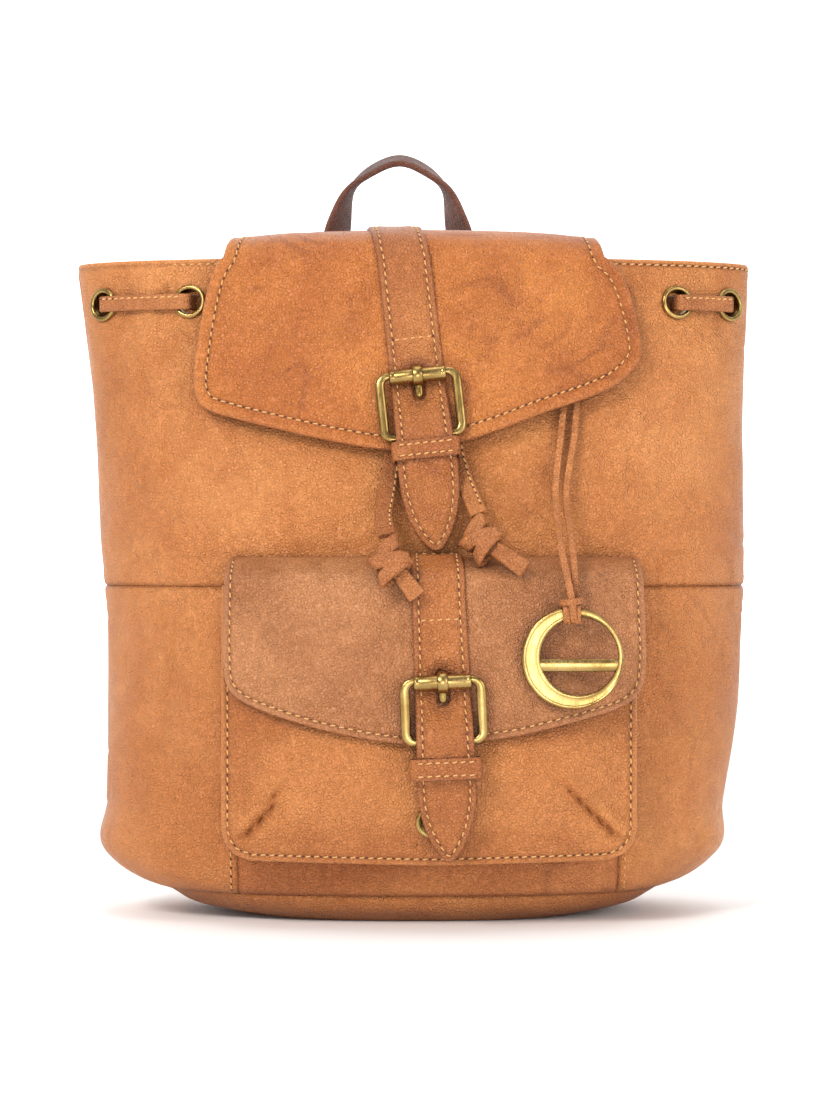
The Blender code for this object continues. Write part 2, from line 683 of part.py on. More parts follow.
def shrunk(loop, by):
    """The loop moved inwards by a small distance."""
    ahead, behind = np.roll(loop, -1, axis=0), np.roll(loop, 1, axis=0)
    along = ahead - behind
    along /= np.linalg.norm(along, axis=1)[:, None]
    normal = np.column_stack([-along[:, 1], along[:, 0]])
    area = 0.5 * np.sum(loop[:, 0] * ahead[:, 1] - ahead[:, 0] * loop[:, 1])
    return loop + normal * (by if area > 0 else -by)


def make_flaps():
    def outer(x, q, k):
        return lifted(main_flap_surface, x, q, FLAP_LINING + STRAP * k)

    def lining(x, q, k):
        return lifted(main_flap_surface, x, q, 0.0007 * k)

    sheet("main_flap", main_flap_loop(), outer, 0.016, "flap", pivot=FLAP_HINGE)
    sheet("main_flap_lining", shrunk(main_flap_loop(), 0.004), lining, 0.016, "lining", pivot=FLAP_HINGE)

    def pocket(x, q, k):
        return lifted(pocket_flap_surface, x, q, STRAP * k)

    sheet("pocket_flap", pocket_flap_loop(), pocket, 0.016, "tan", pivot=pocket_hinge())


def pocket_hinge():
    return (0.010, front_y(0.010, POCKET_FLAP_Z) - 0.0030, POCKET_FLAP_Z)


# ---- buckles and their straps -------------------------------------------------------------------
FLAP_STACK = {"main": FLAP_LINING + STRAP, "pocket": STRAP}  # the flap's front face over its back face
SURFACE = {"main": main_flap_surface, "pocket": pocket_flap_surface}


def strap_height(length, kind):
    """Height of the strap's back face over the flap: under the roller, over the heel bar, down to the tip."""
    heel = BUCKLE[kind]["heel"]
    marks = [(-1.0, 0.0003), (-0.003, 0.0003), (0.004, 0.0004), (0.013, 0.0026), (heel - 0.007, 0.0070),
             (heel, 0.0084), (heel + 0.006, 0.0079), (heel + 0.013, 0.0064), (heel + 0.024, 0.0038),
             (heel + 0.040, 0.0012), (1.0, 0.0012)]
    xs, hs = zip(*marks)
    window = 0.002
    return float(np.mean(np.interp([length - window, length, length + window], xs, hs)))


def strap_place(kind, across, length, height):
    """A point on the strap's own axes, laid on the flap."""
    b = BUCKLE[kind]
    x = b["x"] + length * math.sin(b["lean"]) + across * math.cos(b["lean"])
    q = b["q"] + length * math.cos(b["lean"]) - across * math.sin(b["lean"])
    return lifted(SURFACE[kind], x, q, FLAP_STACK[kind] + height)


def buckle_frame(kind):
    """Origin and axes of the rigid buckle: across, down the strap and out of the bag."""
    origin = strap_place(kind, 0.0, 0.0, 0.0)
    down = (strap_place(kind, 0.0, BUCKLE[kind]["heel"], 0.0) - origin).normalized()
    across = strap_place(kind, 0.010, 0.0, 0.0) - strap_place(kind, -0.010, 0.0, 0.0)
    across = (across - down * across.dot(down)).normalized()
    out = down.cross(across).normalized()
    return origin, across, down, out


def strap_outline(kind):
    """Half the strap's outline in (across, length), mirrored: straight, wider below the buckle, pointed tip."""
    top, tip = {"main": (-0.168, 0.0868), "pocket": (-0.0690, 0.0872)}[kind]
    wide = {"main": 0.0148, "pocket": 0.0144}[kind]
    right = [(0.0128, top), (0.0130, top * 0.66), (0.0132, top * 0.33), (0.0135, -0.004), (0.0136, 0.012),
             (0.0138, 0.030), (wide, 0.046), (wide - 0.0004, 0.058), (wide - 0.0026, 0.069),
             (wide - 0.0065, 0.0785), (wide - 0.0115, tip - 0.0015)]
    if kind == "pocket":
        right[1:3] = [(0.0130, -0.050), (0.0132, -0.026)]
    return right + [(0.0, tip)] + [(-x, l) for x, l in reversed(right)]


def slot_loop():
    """The oblong hole that the prong hangs in."""
    half, low, high = 0.0031, -0.0060, 0.0115
    arc = [math.radians(a) for a in (0, 45, 90, 135, 180)]
    lower = [(half * math.cos(a), high - half + half * math.sin(a)) for a in arc]
    upper = [(-half * math.cos(a), low + half - half * math.sin(a)) for a in arc]
    return lower + upper


def make_strap(kind, pivot):
    def place(across, length, k):
        return strap_place(kind, across, length, strap_height(length, kind) + STRAP * k)

    outline = strap_outline(kind)
    dense = []
    for a, b in zip(outline, outline[1:] + outline[:1]):
        pieces = max(1, int(math.hypot(b[0] - a[0], b[1] - a[1]) / 0.007))
        dense += [(a[0] + (b[0] - a[0]) * k / pieces, a[1] + (b[1] - a[1]) * k / pieces) for k in range(pieces)]
    sheet(kind + "_strap", dense, place, 0.0085, "flap", holes=[slot_loop()], pivot=pivot)


def rigid(kind, across, length, height):
    origin, a, down, out = buckle_frame(kind)
    return origin + a * across + down * length + out * height


def make_chape(kind, pivot):
    """The leather loop that holds the heel bar, its two legs running on under the keeper."""
    heel, thick = BUCKLE[kind]["heel"], 0.0011
    bar, half = 0.0018 + GAP, 0.0105
    centre, turns = (heel, HEEL_H), [math.radians(a) for a in (90, 120, 150, 180, 210, 240, 270)]

    def arc(radius):
        return [(centre[0] + radius * math.cos(a), centre[1] + radius * math.sin(a)) for a in turns]

    outer, inner = arc(bar + thick), arc(bar)
    end = heel + 0.0150
    upper = [(end, 0.0044), (heel + 0.010, 0.0044)]
    lower = [(heel + 0.004, HEEL_H - bar - thick), (end, HEEL_H - bar - thick)]
    back_lower = [(end, HEEL_H - bar), (heel + 0.004, HEEL_H - bar)]
    back_upper = [(heel + 0.010, 0.0044 - thick), (end, 0.0044 - thick)]
    profile = upper + outer + lower + back_lower + list(reversed(inner)) + back_upper
    rings(kind + "_chape", [[rigid(kind, side * half, l, h) for l, h in profile] for side in (-1, 1)],
          "flap", pivot=pivot)


def make_keeper(kind, pivot):
    """A leather loop round the strap and the chape's legs."""
    start, end = BUCKLE[kind]["keeper"]
    half, thick = BUCKLE[kind]["keeper_half"], 0.0009
    low, high = 0.0004, strap_height(start, kind) + STRAP + 0.0018

    def loop(w, bottom, top, radius):
        found = []
        for sx, sy, turn in ((1, 1, 0), (-1, 1, 90), (-1, -1, 180), (1, -1, 270)):
            cx, cy = sx * (w - radius), (top - radius) if sy > 0 else (bottom + radius)
            for step in (0, 45, 90):
                a = math.radians(turn + step)
                found.append((cx + radius * math.cos(a), cy + radius * math.sin(a)))
        return found

    outer, inner = loop(half, low, high, 0.0020), loop(half - thick, low + thick, high - thick, 0.0012)
    loops = [[rigid(kind, a, l, h) for a, h in ring] for ring, l in
             ((outer, start), (outer, end), (inner, end), (inner, start))]
    rings(kind + "_keeper", loops, "flap", closed=True, pivot=pivot)


def make_buckle(kind, pivot):
    """Frame, roller and prong of one buckle."""
    b = BUCKLE[kind]
    top, heel, half, corner = -BAR_OFFSET, b["heel"], b["half"], 0.0045
    path, widths = [], []
    for sx, end, turn in ((1, heel, 0), (-1, heel, 90), (-1, top, 180), (1, top, 270)):
        cx = sx * (half - corner)
        cl = end - corner if end == heel else end + corner
        for step in (0, 30, 60, 90):
            a = math.radians(turn + step)
            along = (cl - top) / (heel - top)
            path.append((cx + corner * math.cos(a), cl + corner * math.sin(a),
                         ROLLER_H + (HEEL_H - ROLLER_H) * along))
            side_way = abs(math.cos(a))
            widths.append(0.0016 + 0.0008 * side_way)
    points = [rigid(kind, *p) for p in path]
    outs = buckle_frame(kind)[3]
    swept(kind + "_buckle_frame", points, [tuple(outs)], [0.0016] * len(points), widths, "brass", 8, pivot, True)
    axis = buckle_frame(kind)[1]
    centre = rigid(kind, 0.0, 0.0, ROLLER_H)
    reach = b["roller_half"]
    split = 0.0026
    turned(kind + "_roller", [(ROLLER_R, -reach), (ROLLER_R, reach), (0.0028, reach), (0.0028, -reach)],
           centre, axis, "brass", 20, pivot=centre)
    ring_in, ring_out = ROLLER_R + 0.0003, ROLLER_R + 0.0014
    prong = turned(kind + "_prong", [(ring_out, -split + 0.0005), (ring_out, split - 0.0005),
                                     (ring_in, split - 0.0005), (ring_in, -split + 0.0005)],
                   centre, axis, "brass", 20, pivot=centre)
    tongue = swept("cutter_tongue_" + kind,
                   [rigid(kind, 0.0, l, h) for l, h in ((0.0030, 0.0028), (0.0055, 0.0022), (0.0100, 0.0020))],
                   [tuple(axis)], 0.0019, 0.0008, "brass", 8)
    join(prong, tongue)


def make_snap(kind, pivot):
    """A magnetic snap: the stud rides under the strap's tip, the socket sits on the bag or the pocket."""
    length = {"main": 0.0705, "pocket": 0.0690}[kind]
    under = strap_place(kind, 0.0, length, strap_height(length, kind) - GAP)
    out = (strap_place(kind, 0.0, length, 0.002) - strap_place(kind, 0.0, length, 0.0)).normalized()
    if kind == "main":
        level = front_y(under.x, under.z) - GAP
    else:
        level = front_y(under.x, under.z) - POCKET_DEPTH - GAP
    room = (level - under.y) * abs(out.y)
    socket = 0.0022
    stud = room - socket - GAP
    turned(kind + "_snap_stud", [(0.0070, -stud), (0.0070, 0.0)], under, out, "brass", 20, closed=False, pivot=pivot)
    base = under - out * room - Vector((SNAP_SHIFT[kind], 0, 0))
    turned("body_snap_socket" if kind == "main" else "pocket_snap_socket", [(0.0074, 0.0), (0.0074, socket)],
           base, out, "brass", 20, closed=False)


def make_buckled_straps():
    for kind in BUCKLE:
        pivot = FLAP_HINGE if kind == "main" else pocket_hinge()
        make_strap(kind, pivot)
        make_chape(kind, pivot)
        make_keeper(kind, pivot)
        make_buckle(kind, pivot)
        make_snap(kind, pivot)


# ---- handle, tag and shoulder straps ------------------------------------------------------------
def make_handle():
    """The carrying handle, a strap that twists edge-on at the top of its arch."""
    lean = math.tan(math.radians(18))
    route = [(-0.0426, 0.3130), (-0.0425, 0.3400), (-0.0400, 0.3640), (-0.0310, 0.3860), (-0.0080, 0.3985),
             (0.0140, 0.3860), (0.0225, 0.3640), (0.0262, 0.3400), (0.0275, 0.3130)]
    flat = smooth(route, 25)
    path, wide = [], []
    for x, z in flat:
        path.append((x, HANDLE_PIVOT[1] + lean * (z - HANDLE_PIVOT[2]), z))
        twist = min((z - HANDLE_PIVOT[2]) / 0.080, 1.0) * math.radians(90)
        wide.append((math.cos(twist), math.sin(twist), lean * math.sin(twist)))
    for i in range(len(wide)):
        if i > len(wide) // 2:
            wide[i] = (-wide[i][0], wide[i][1], wide[i][2])
    swept("top_handle", path, wide, 0.0095, 0.0018, "dark", pivot=HANDLE_PIVOT)

    def place(x, z, k):
        return Vector((x, back_y(x, z) + GAP + LEATHER * k, z))

    outline = [(-0.055, 0.3080), (-0.055, 0.282), (-0.048, 0.262), (0.0, 0.254), (0.048, 0.262), (0.055, 0.282),
               (0.055, 0.3080), (0.0, 0.3080)]
    sheet("yoke_patch", outline, place, 0.016, "tan")


def lace_path():
    """The doubled lace: down in front, through the ring, up behind."""
    rx, ry, rz = RING_CENTRE
    top = rz + RING_HOLE_SHIFT[1] + RING_HOLE_R - 0.0006  # lower edge of the ring's rim at its top
    rim = 0.0058
    in_front, behind = ry - RING_HALF_THICK - 0.0022, ry + RING_HALF_THICK + 0.0022
    x = rx + 0.0005
    tail = tail_point(LACE_TOP[0], LACE_TOP[1], 0.0).y
    start = (LACE_TOP[0] - 0.0030, tail - 0.0030, LACE_START_Z)
    finish = (LACE_TOP[0] + 0.0030, tail - 0.0030, LACE_START_Z)
    front_of = [(-0.0030, 0.268, 0.0030), (-0.0050, 0.245, 0.0045), (-0.0085, 0.215, 0.0100)]
    down = [start] + [(LACE_TOP[0] + dx, front_y(LACE_TOP[0], z) - off, z) for dx, z, off in front_of]
    down += [(x - 0.0060, -0.0985, 0.190), (x - 0.0035, -0.1075, 0.175), (x - 0.0010, in_front, top + rim + 0.004),
             (x, in_front, top + 0.0010), (x, ry, top - 0.0014), (x, behind, top + 0.0010)]
    up = [(x + 0.0008, behind, top + rim + 0.004), (x + 0.0006, -0.1045, 0.177), (x - 0.0006, -0.0940, 0.192),
          (LACE_TOP[0] - 0.0030, front_y(LACE_TOP[0], 0.215) - 0.0085, 0.215),
          (LACE_TOP[0] + 0.0018, front_y(LACE_TOP[0], 0.245) - 0.0040, 0.245),
          (LACE_TOP[0] + 0.0030, front_y(LACE_TOP[0], 0.268) - 0.0030, 0.268), finish]
    return down + up


def make_tag():
    """The hang tag: a thin lace and a brass ring with a plain bar across it."""
    rx, ry, rz = RING_CENTRE
    pivot = (LACE_TOP[0], front_y(*LACE_TOP) - 0.0030, LACE_START_Z)
    path = smooth(lace_path(), 78)
    swept("tag_lace", path, [(1, 0, 0)], 0.0016, 0.0006, "dark", pivot=pivot)
    loops = []
    sides = 40
    for radius, shift, y in ((RING_R, 0, -1), (RING_R, 0, 1), (RING_HOLE_R, 1, 1), (RING_HOLE_R, 1, -1)):
        cx, cz = rx + shift * RING_HOLE_SHIFT[0], rz + shift * RING_HOLE_SHIFT[1]
        loops.append([(cx + radius * math.cos(a), ry + y * RING_HALF_THICK, cz + radius * math.sin(a))
                      for a in angles(0, 2 * math.pi, sides)[:-1]])
    ring = rings("tag_ring", loops, "brass", closed=True, pivot=(rx, ry, rz + 0.0222))
    bar_z = rz - 0.0034
    bar = swept("cutter_tag_bar", [(rx - 0.0172, ry, bar_z), (rx + 0.0232, ry, bar_z)], [(0, 0, 1)],
                0.0030, 0.0009, "brass")
    join(ring, bar)


def shoulder_route(side):
    """Middle line of a shoulder strap, from the yoke out and down to its adjuster."""
    points = [(0.034, 0.0085, 0.290), (0.040, 0.022, 0.280), (0.054, 0.040, 0.255), (0.072, 0.052, 0.215),
              (0.086, 0.054, 0.170), (0.095, 0.046, 0.128)]
    return [(side * x, back_y(side * x, z) + off, z) for x, off, z in points]


def make_shoulder_straps():
    for name, side in (("left", -1), ("right", 1)):
        route = shoulder_route(side)
        top = route[0]
        foot_x, off, foot_z = SHOULDER_FOOT
        foot = (side * foot_x, back_y(side * foot_x, foot_z) + off, foot_z)
        path = smooth(route, 15)
        widths = [0.011 + 0.007 * min(k / 4, 1.0) - 0.004 * max(0, k - 11) / 3 for k in range(len(path))]
        wide = [(1.0, 0.0, 0.30 * side)] * len(path)
        swept("shoulder_strap_" + name, path, wide, widths, 0.0022, "tan", pivot=top)
        low = [tuple(path[-1] + np.array((side * 0.0018, -0.0055, -0.0175))),
               (side * 0.104, back_y(side * 0.104, 0.075) + 0.026, 0.075), foot]
        tail = smooth(low, 9)
        swept("strap_tail_" + name, tail, [(1.0, 0.0, 0.25 * side)] * 9, 0.0095, 0.0014, "tan", pivot=top)
        make_adjuster(name, side, path[-1], tail[0], top)
        make_anchor(name, side)


def make_adjuster(name, side, above, below, pivot):
    """A rectangular brass loop between the strap and its tail."""
    up, down = Vector(above), Vector(below)
    along = (down - up).normalized()
    start, end = up + along * 0.0028, down - along * 0.0028
    across = Vector((1.0, 0.0, 0.28 * side))
    across = (across - along * across.dot(along)).normalized()
    half, path = 0.0155, []
    middle, reach, corner = (start + end) / 2, (end - start).length / 2, 0.003
    for sx, sl, turn in ((1, 1, 0), (-1, 1, 90), (-1, -1, 180), (1, -1, 270)):
        for step in (0, 45, 90):
            a = math.radians(turn + step)
            path.append(middle + across * (sx * (half - corner) + corner * math.cos(a))
                        + along * (sl * (reach - corner) + corner * math.sin(a)))
    out = along.cross(across)
    swept("strap_adjuster_" + name, path, [tuple(out)], 0.0014, 0.0014, "brass", 8, pivot, True)


def make_anchor(name, side):
    """The sewn leather tab at the bag's foot that the strap's tail comes from."""
    def place(x, z, k):
        return Vector((x, back_y(x, z) + 3 * GAP + 0.0036 * k, z))

    x0, x1 = side * 0.100, side * 0.128
    outline = [(x0, 0.0225), (x1, 0.0225), (x1, 0.038), ((x0 + x1) / 2 + side * 0.004, 0.0480), (x0, 0.045)]
    sheet("anchor_tab_" + name, outline, place, 0.012, "tan")


def main():
    for obj in list(bpy.data.objects):
        bpy.data.objects.remove(obj, do_unlink=True)
    make_body()
    make_pocket()
    make_flaps()
    make_buckled_straps()
    make_handle()
    make_tag()
    make_shoulder_straps()


main()
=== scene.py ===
"""The looks of a tan leather drawstring backpack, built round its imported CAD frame.

Everything is in metres in the bag's own frame: +Z up, the front faces -Y, the bag stands on z = 0.
Leather pieces are cut from flat outlines and laid on the same surfaces as the CAD solids they replace.
"""

import math

import bpy
import numpy as np
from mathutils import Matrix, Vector
from mathutils.geometry import delaunay_2d_cdt


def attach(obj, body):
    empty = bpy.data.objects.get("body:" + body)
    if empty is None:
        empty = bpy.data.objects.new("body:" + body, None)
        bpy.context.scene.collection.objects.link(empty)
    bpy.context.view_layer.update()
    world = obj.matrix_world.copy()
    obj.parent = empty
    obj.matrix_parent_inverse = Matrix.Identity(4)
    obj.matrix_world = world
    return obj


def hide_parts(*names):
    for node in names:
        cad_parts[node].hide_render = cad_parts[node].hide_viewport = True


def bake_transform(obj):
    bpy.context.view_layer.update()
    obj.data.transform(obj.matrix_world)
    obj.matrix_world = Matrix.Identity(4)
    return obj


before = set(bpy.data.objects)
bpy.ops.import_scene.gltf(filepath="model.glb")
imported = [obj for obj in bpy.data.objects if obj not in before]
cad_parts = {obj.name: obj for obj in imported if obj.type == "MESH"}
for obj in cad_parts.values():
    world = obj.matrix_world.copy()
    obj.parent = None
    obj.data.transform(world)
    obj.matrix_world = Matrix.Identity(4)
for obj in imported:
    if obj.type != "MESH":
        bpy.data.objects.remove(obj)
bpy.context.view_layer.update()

# ---- sizes shared with the CAD ------------------------------------------------------------------
LEATHER = 0.002
STRAP = 0.0018
RIM_Z = 0.333
FLOOR_SEAM_Z = 0.0135
WAIST_SEAM_Z = 0.1675
FRONT_SEAMS = (-0.088, 0.102)
EYELET_Z = 0.3112
FACING_FOOT_Z = 0.294
FACING_LEVELS = (-0.0029, -0.0039)  # its outside and inside, off the wall
SECTIONS = np.array([  # height, half width left and right, depth front and back, squareness
    (0.000, 0.086, 0.086, 0.058, 0.054, 2.6),
    (0.004, 0.108, 0.107, 0.0645, 0.06, 2.6),
    (0.012, 0.126, 0.125, 0.07, 0.065, 2.6),
    (0.018, 0.141, 0.14, 0.073, 0.068, 2.7),
    (0.03, 0.158, 0.156, 0.076, 0.07, 2.7),
    (0.056, 0.16, 0.16, 0.079, 0.07, 2.6),
    (0.1, 0.1595, 0.167, 0.08, 0.07, 2.5),
    (0.15, 0.1585, 0.169, 0.078, 0.067, 2.4),
    (0.2, 0.163, 0.1705, 0.072, 0.062, 2.3),
    (0.26, 0.167, 0.17, 0.061, 0.055, 2.2),
    (0.3, 0.17, 0.1725, 0.054, 0.05, 2.1),
    (0.34, 0.1745, 0.174, 0.0495, 0.0455, 1.95),
])
FLAP_LINING = 0.0014
FLAP_CLEAR = 0.0062
FLAP_TOP = 0.108
FLAP_FRONT_Z = 0.331
POCKET_DEPTH = 0.0205
POCKET_FLAP_CLEAR = 0.0245
POCKET_FLAP_Z = 0.18
POCKET_TURN = 0.028
POCKET_FRONT_Z = 0.164
POCKET_TOP = 0.168
FLAP_STACK = {"main": FLAP_LINING + STRAP, "pocket": STRAP}
BUCKLE = {
    "main": {"x": 0.0017, "q": 0.0607, "lean": math.radians(6.3), "heel": 0.0306, "half": 0.0192,
             "keeper": (0.0334, 0.043), "keeper_half": 0.0168, "roller_half": 0.014},
    "pocket": {"x": 0.0137, "q": 0.0707, "lean": math.radians(2.4), "heel": 0.0287, "half": 0.0186,
               "keeper": (0.0365, 0.047), "keeper_half": 0.0174, "roller_half": 0.0139},
}
ROLLER_H, ROLLER_R, HEEL_H, BAR_OFFSET = 0.0061, 0.0037, 0.0045, 0.0009
EYELETS = {"1": (-0.159, "front"), "2": (-0.1135, "front"), "3": (-0.07, "front"),
           "4": (0.09, "front"), "5": (0.1337, "front"), "6": (0.1616, "front"),
           "7": (0.132, "back"), "8": (0.067, "back"), "9": (-0.067, "back"), "10": (-0.132, "back")}
EYELET_HOLE, EYELET_FLANGE = 0.006, 0.0087
HANDLE_PIVOT = (0.0, 0.057, 0.313)
RING_CENTRE = (0.0767, -0.1085, 0.133)
RING_R, RING_HOLE_R, RING_HALF_THICK = 0.0247, 0.0188, 0.0014
RING_HOLE_SHIFT = (0.0034, 0.001)
LACE_TOP = (0.0785, 0.296)

# ---- looks --------------------------------------------------------------------------------------
PITCH = 0.0044  # of the stitching
STITCH = 0.003
THREAD = 0.0004  # radius
STITCH_SLANT = 9.0  # degrees off its row
MAIN_SEAM, EDGE_SEAM = 0.0066, 0.0034  # from the edge


def srgb(r, g, b):
    """8-bit display colour to linear."""
    return tuple((c / 255 / 12.92) if c / 255 <= 0.04045 else ((c / 255 + 0.055) / 1.055) ** 2.4
            for c in (r, g, b))


# ---- noise and curves ---------------------------------------------------------------------------
def lattice(i, j, k, seed):
    """A fixed value from 0 to 1 for each lattice point."""
    h = (i * 374761393 + j * 668265263 + k * 2147483647 + seed * 1274126177) & 0xFFFFFFFF
    h = ((h ^ (h >> 13)) * 1274126177) & 0xFFFFFFFF
    return ((h ^ (h >> 16)) & 0xFFFF) / 65535.0


def noise(points, size, seed=0):
    """Smooth noise from -1 to 1 with features about SIZE apart; SIZE may differ along X, Y and Z."""
    p = np.asarray(points, float) / np.broadcast_to(size, 3)
    base = np.floor(p).astype(np.int64)
    f = p - base
    f = f * f * f * (f * (f * 6 - 15) + 10)
    total = 0.0
    for dx in (0, 1):
        for dy in (0, 1):
            for dz in (0, 1):
                w = (np.where(dx, f[:, 0], 1 - f[:, 0]) * np.where(dy, f[:, 1], 1 - f[:, 1])
                     * np.where(dz, f[:, 2], 1 - f[:, 2]))
                total = total + w * lattice(base[:, 0] + dx, base[:, 1] + dy, base[:, 2] + dz, seed)
    return total * 2 - 1


def bump(distance, width):
    """A smooth hill of height 1 at 0."""
    return np.exp(-((np.asarray(distance) / width) ** 2))


def ramp(value, low, high):
    t = np.clip((np.asarray(value, float) - low) / (high - low), 0, 1)
    return t * t * (3 - 2 * t)


def spline_table():
    """Every column of SECTIONS read off a smooth curve at fine steps of height."""
    heights = SECTIONS[:, 0]
    fine = np.linspace(heights[0], heights[-1], 681)
    i = np.clip(np.searchsorted(heights, fine) - 1, 0, len(heights) - 2)
    step = heights[i + 1] - heights[i]
    t = (fine - heights[i]) / step
    columns = []
    for c in range(SECTIONS.shape[1]):
        v = SECTIONS[:, c]
        m = np.gradient(v, heights)
        columns.append((2 * t**3 - 3 * t**2 + 1) * v[i] + (t**3 - 2 * t**2 + t) * step * m[i]
                       + (3 * t**2 - 2 * t**3) * v[i + 1] + (t**3 - t**2) * step * m[i + 1])
    return fine, columns


FINE, COLUMNS = spline_table()


def column(z, c):
    return np.interp(z, FINE, COLUMNS[c])


def smooth(points, count, closed=False):
    """COUNT points along the Catmull-Rom curve through these points."""
    pts = np.array(points, float)
    n = len(pts)
    spans = n if closed else n - 1
    u = np.arange(count) * spans / (count if closed else count - 1)
    i = np.minimum(u.astype(int), spans - 1)
    t = (u - i)[:, None]

    def at(j):
        return pts[(i + j) % n] if closed else pts[np.clip(i + j, 0, n - 1)]

    a, b, c, d = at(-1), at(0), at(1), at(2)
    return 0.5 * (2 * b + (c - a) * t + (2 * a - 5 * b + 4 * c - d) * t**2 + (3 * b - 3 * c + d - a) * t**3)


def even(path, step, closed=False):
    """The path resampled at an even spacing near STEP."""
    path = np.asarray(path, float)
    if closed:
        path = np.vstack([path, path[:1]])
    lengths = np.concatenate([[0], np.cumsum(np.linalg.norm(np.diff(path, axis=0), axis=1))])
    count = max(2, int(round(lengths[-1] / step)) + (0 if closed else 1))
    at = np.linspace(0, lengths[-1], count + 1 if closed else count)
    if closed:
        at = at[:-1]
    return np.column_stack([np.interp(at, lengths, path[:, k]) for k in range(path.shape[1])])


def unit(v):
    v = np.asarray(v, float)
    return v / np.maximum(np.linalg.norm(v, axis=-1, keepdims=True), 1e-12)


# ---- the CAD's surfaces -------------------------------------------------------------------------
def wall_y(x, z, c):
    half = np.where(x > 0, column(z, 2), column(z, 1))
    n = column(z, 5)
    return column(z, c) * np.maximum(1 - np.abs(x / half) ** n, 0.0) ** (1 / n)


def front_y(x, z):
    return -wall_y(x, z, 3)


def back_y(x, z):
    return wall_y(x, z, 4)


def body_points(t, z, off=0.0):
    """The body's outside at plan angles T (-90 degrees is the front), OFF outwards."""
    c, s = np.cos(t), np.sin(t)
    half = np.where(c > 0, column(z, 2), column(z, 1))
    depth = np.where(s > 0, column(z, 4), column(z, 3))
    n = column(z, 5)
    x = np.sign(c) * half * np.abs(c) ** (2 / n)
    y = np.sign(s) * depth * np.abs(s) ** (2 / n)
    nx = np.sign(x) * np.abs(x / half) ** (n - 1) / half
    ny = np.sign(y) * np.abs(y / depth) ** (n - 1) / depth
    size = np.hypot(nx, ny)
    return np.stack([x + off * nx / size, y + off * ny / size, z + 0 * x], -1)


def front_angle(x, z):
    half = np.where(x > 0, column(z, 2), column(z, 1))
    return -np.arccos(np.sign(x) * np.abs(x / half) ** (column(z, 5) / 2))


def chain_points(chain, f):
    """Points at fractions F of Catmull-Rom chains; CHAIN has one row of points for each F."""
    n = chain.shape[1]
    u = np.clip(f, 0, 1) * (n - 1)
    i = np.minimum(u.astype(int), n - 2)
    t = (u - i)[:, None]
    rows = np.arange(len(f))
    a, b, c, d = (chain[rows, np.clip(i + j, 0, n - 1)] for j in (-1, 0, 1, 2))
    return 0.5 * (2 * b + (c - a) * t + (2 * a - 5 * b + 4 * c - d) * t**2 + (3 * b - 3 * c + d - a) * t**3)


def main_flap_surface(x, q):
    """Back face of the closed main flap: Q is -FLAP_TOP at its hinge, 0 where it turns down.

    Beyond the hinge the leather goes on down the back panel, where it is sewn.
    """
    x, q = np.broadcast_arrays(np.asarray(x, float), np.asarray(q, float))
    z = FLAP_FRONT_Z - q
    face = np.stack([x, front_y(x, np.minimum(z, 0.336)) - FLAP_CLEAR, z], -1)
    yf = front_y(x, np.full_like(x, FLAP_FRONT_Z)) - FLAP_CLEAR
    yb = back_y(x, np.full_like(x, RIM_Z))
    drop = 0.005 * (x / 0.1) ** 4
    marks = [(yb + 0.002, 0.3365 + 0 * x), (0.55 * yb, 0.344 - drop), (0 * x, 0.3462 - drop),
             (0.62 * yf, 0.3445 - drop), (yf + 0.005, 0.3392 - 0.5 * drop), (yf, FLAP_FRONT_Z + 0 * x)]
    chain = np.stack([np.stack(m, -1) for m in marks], 1)
    over = chain_points(chain, 1 + q / FLAP_TOP)
    face = np.where((q >= 0)[:, None], face, np.column_stack([x, over]))
    past = -FLAP_TOP - q
    down = 0.3365 - np.maximum(past, 0)
    behind = np.stack([x, back_y(x, down) + 0.0012 + 0.0008 * bump(past, 0.004), down], -1)
    return np.where((past > 0)[:, None], behind, face)


def pocket_flap_surface(x, q):
    """Back face of the closed pocket flap: Q is 0 at its hinge and grows downwards."""
    x, q = np.broadcast_arrays(np.asarray(x, float), np.asarray(q, float))
    z = POCKET_FRONT_Z - (q - POCKET_TURN)
    face = np.stack([x, front_y(x, z) - POCKET_FLAP_CLEAR, z], -1)
    top = POCKET_FLAP_Z
    base = front_y(x, np.full_like(x, top))
    low, lower = np.full_like(x, top - 0.0085), np.full_like(x, POCKET_FRONT_Z)
    marks = [(base - 0.003, top + 0 * x), (base - 0.011, top - 0.0006 + 0 * x),
            (base - 0.019, top - 0.004 + 0 * x), (front_y(x, low) - POCKET_FLAP_CLEAR, low),
            (front_y(x, lower) - POCKET_FLAP_CLEAR, lower)]
    chain = np.stack([np.stack(m, -1) for m in marks], 1)
    over = np.column_stack([x, chain_points(chain, q / POCKET_TURN)])
    return np.where((q >= POCKET_TURN)[:, None], face, over)


SURFACE = {"main": main_flap_surface, "pocket": pocket_flap_surface}


def lifted(surface, x, q, h=0.0):
    """Points H above the surface along its normal."""
    x, q = np.broadcast_arrays(np.asarray(x, float), np.asarray(q, float))
    x, q = x.ravel(), q.ravel()
    e = 0.0015
    across = surface(x + e, q) - surface(x - e, q)
    down = surface(x, q + e) - surface(x, q - e)
    normal = unit(np.cross(down, across))
    return surface(x, q) + normal * np.broadcast_to(h, x.shape)[:, None]


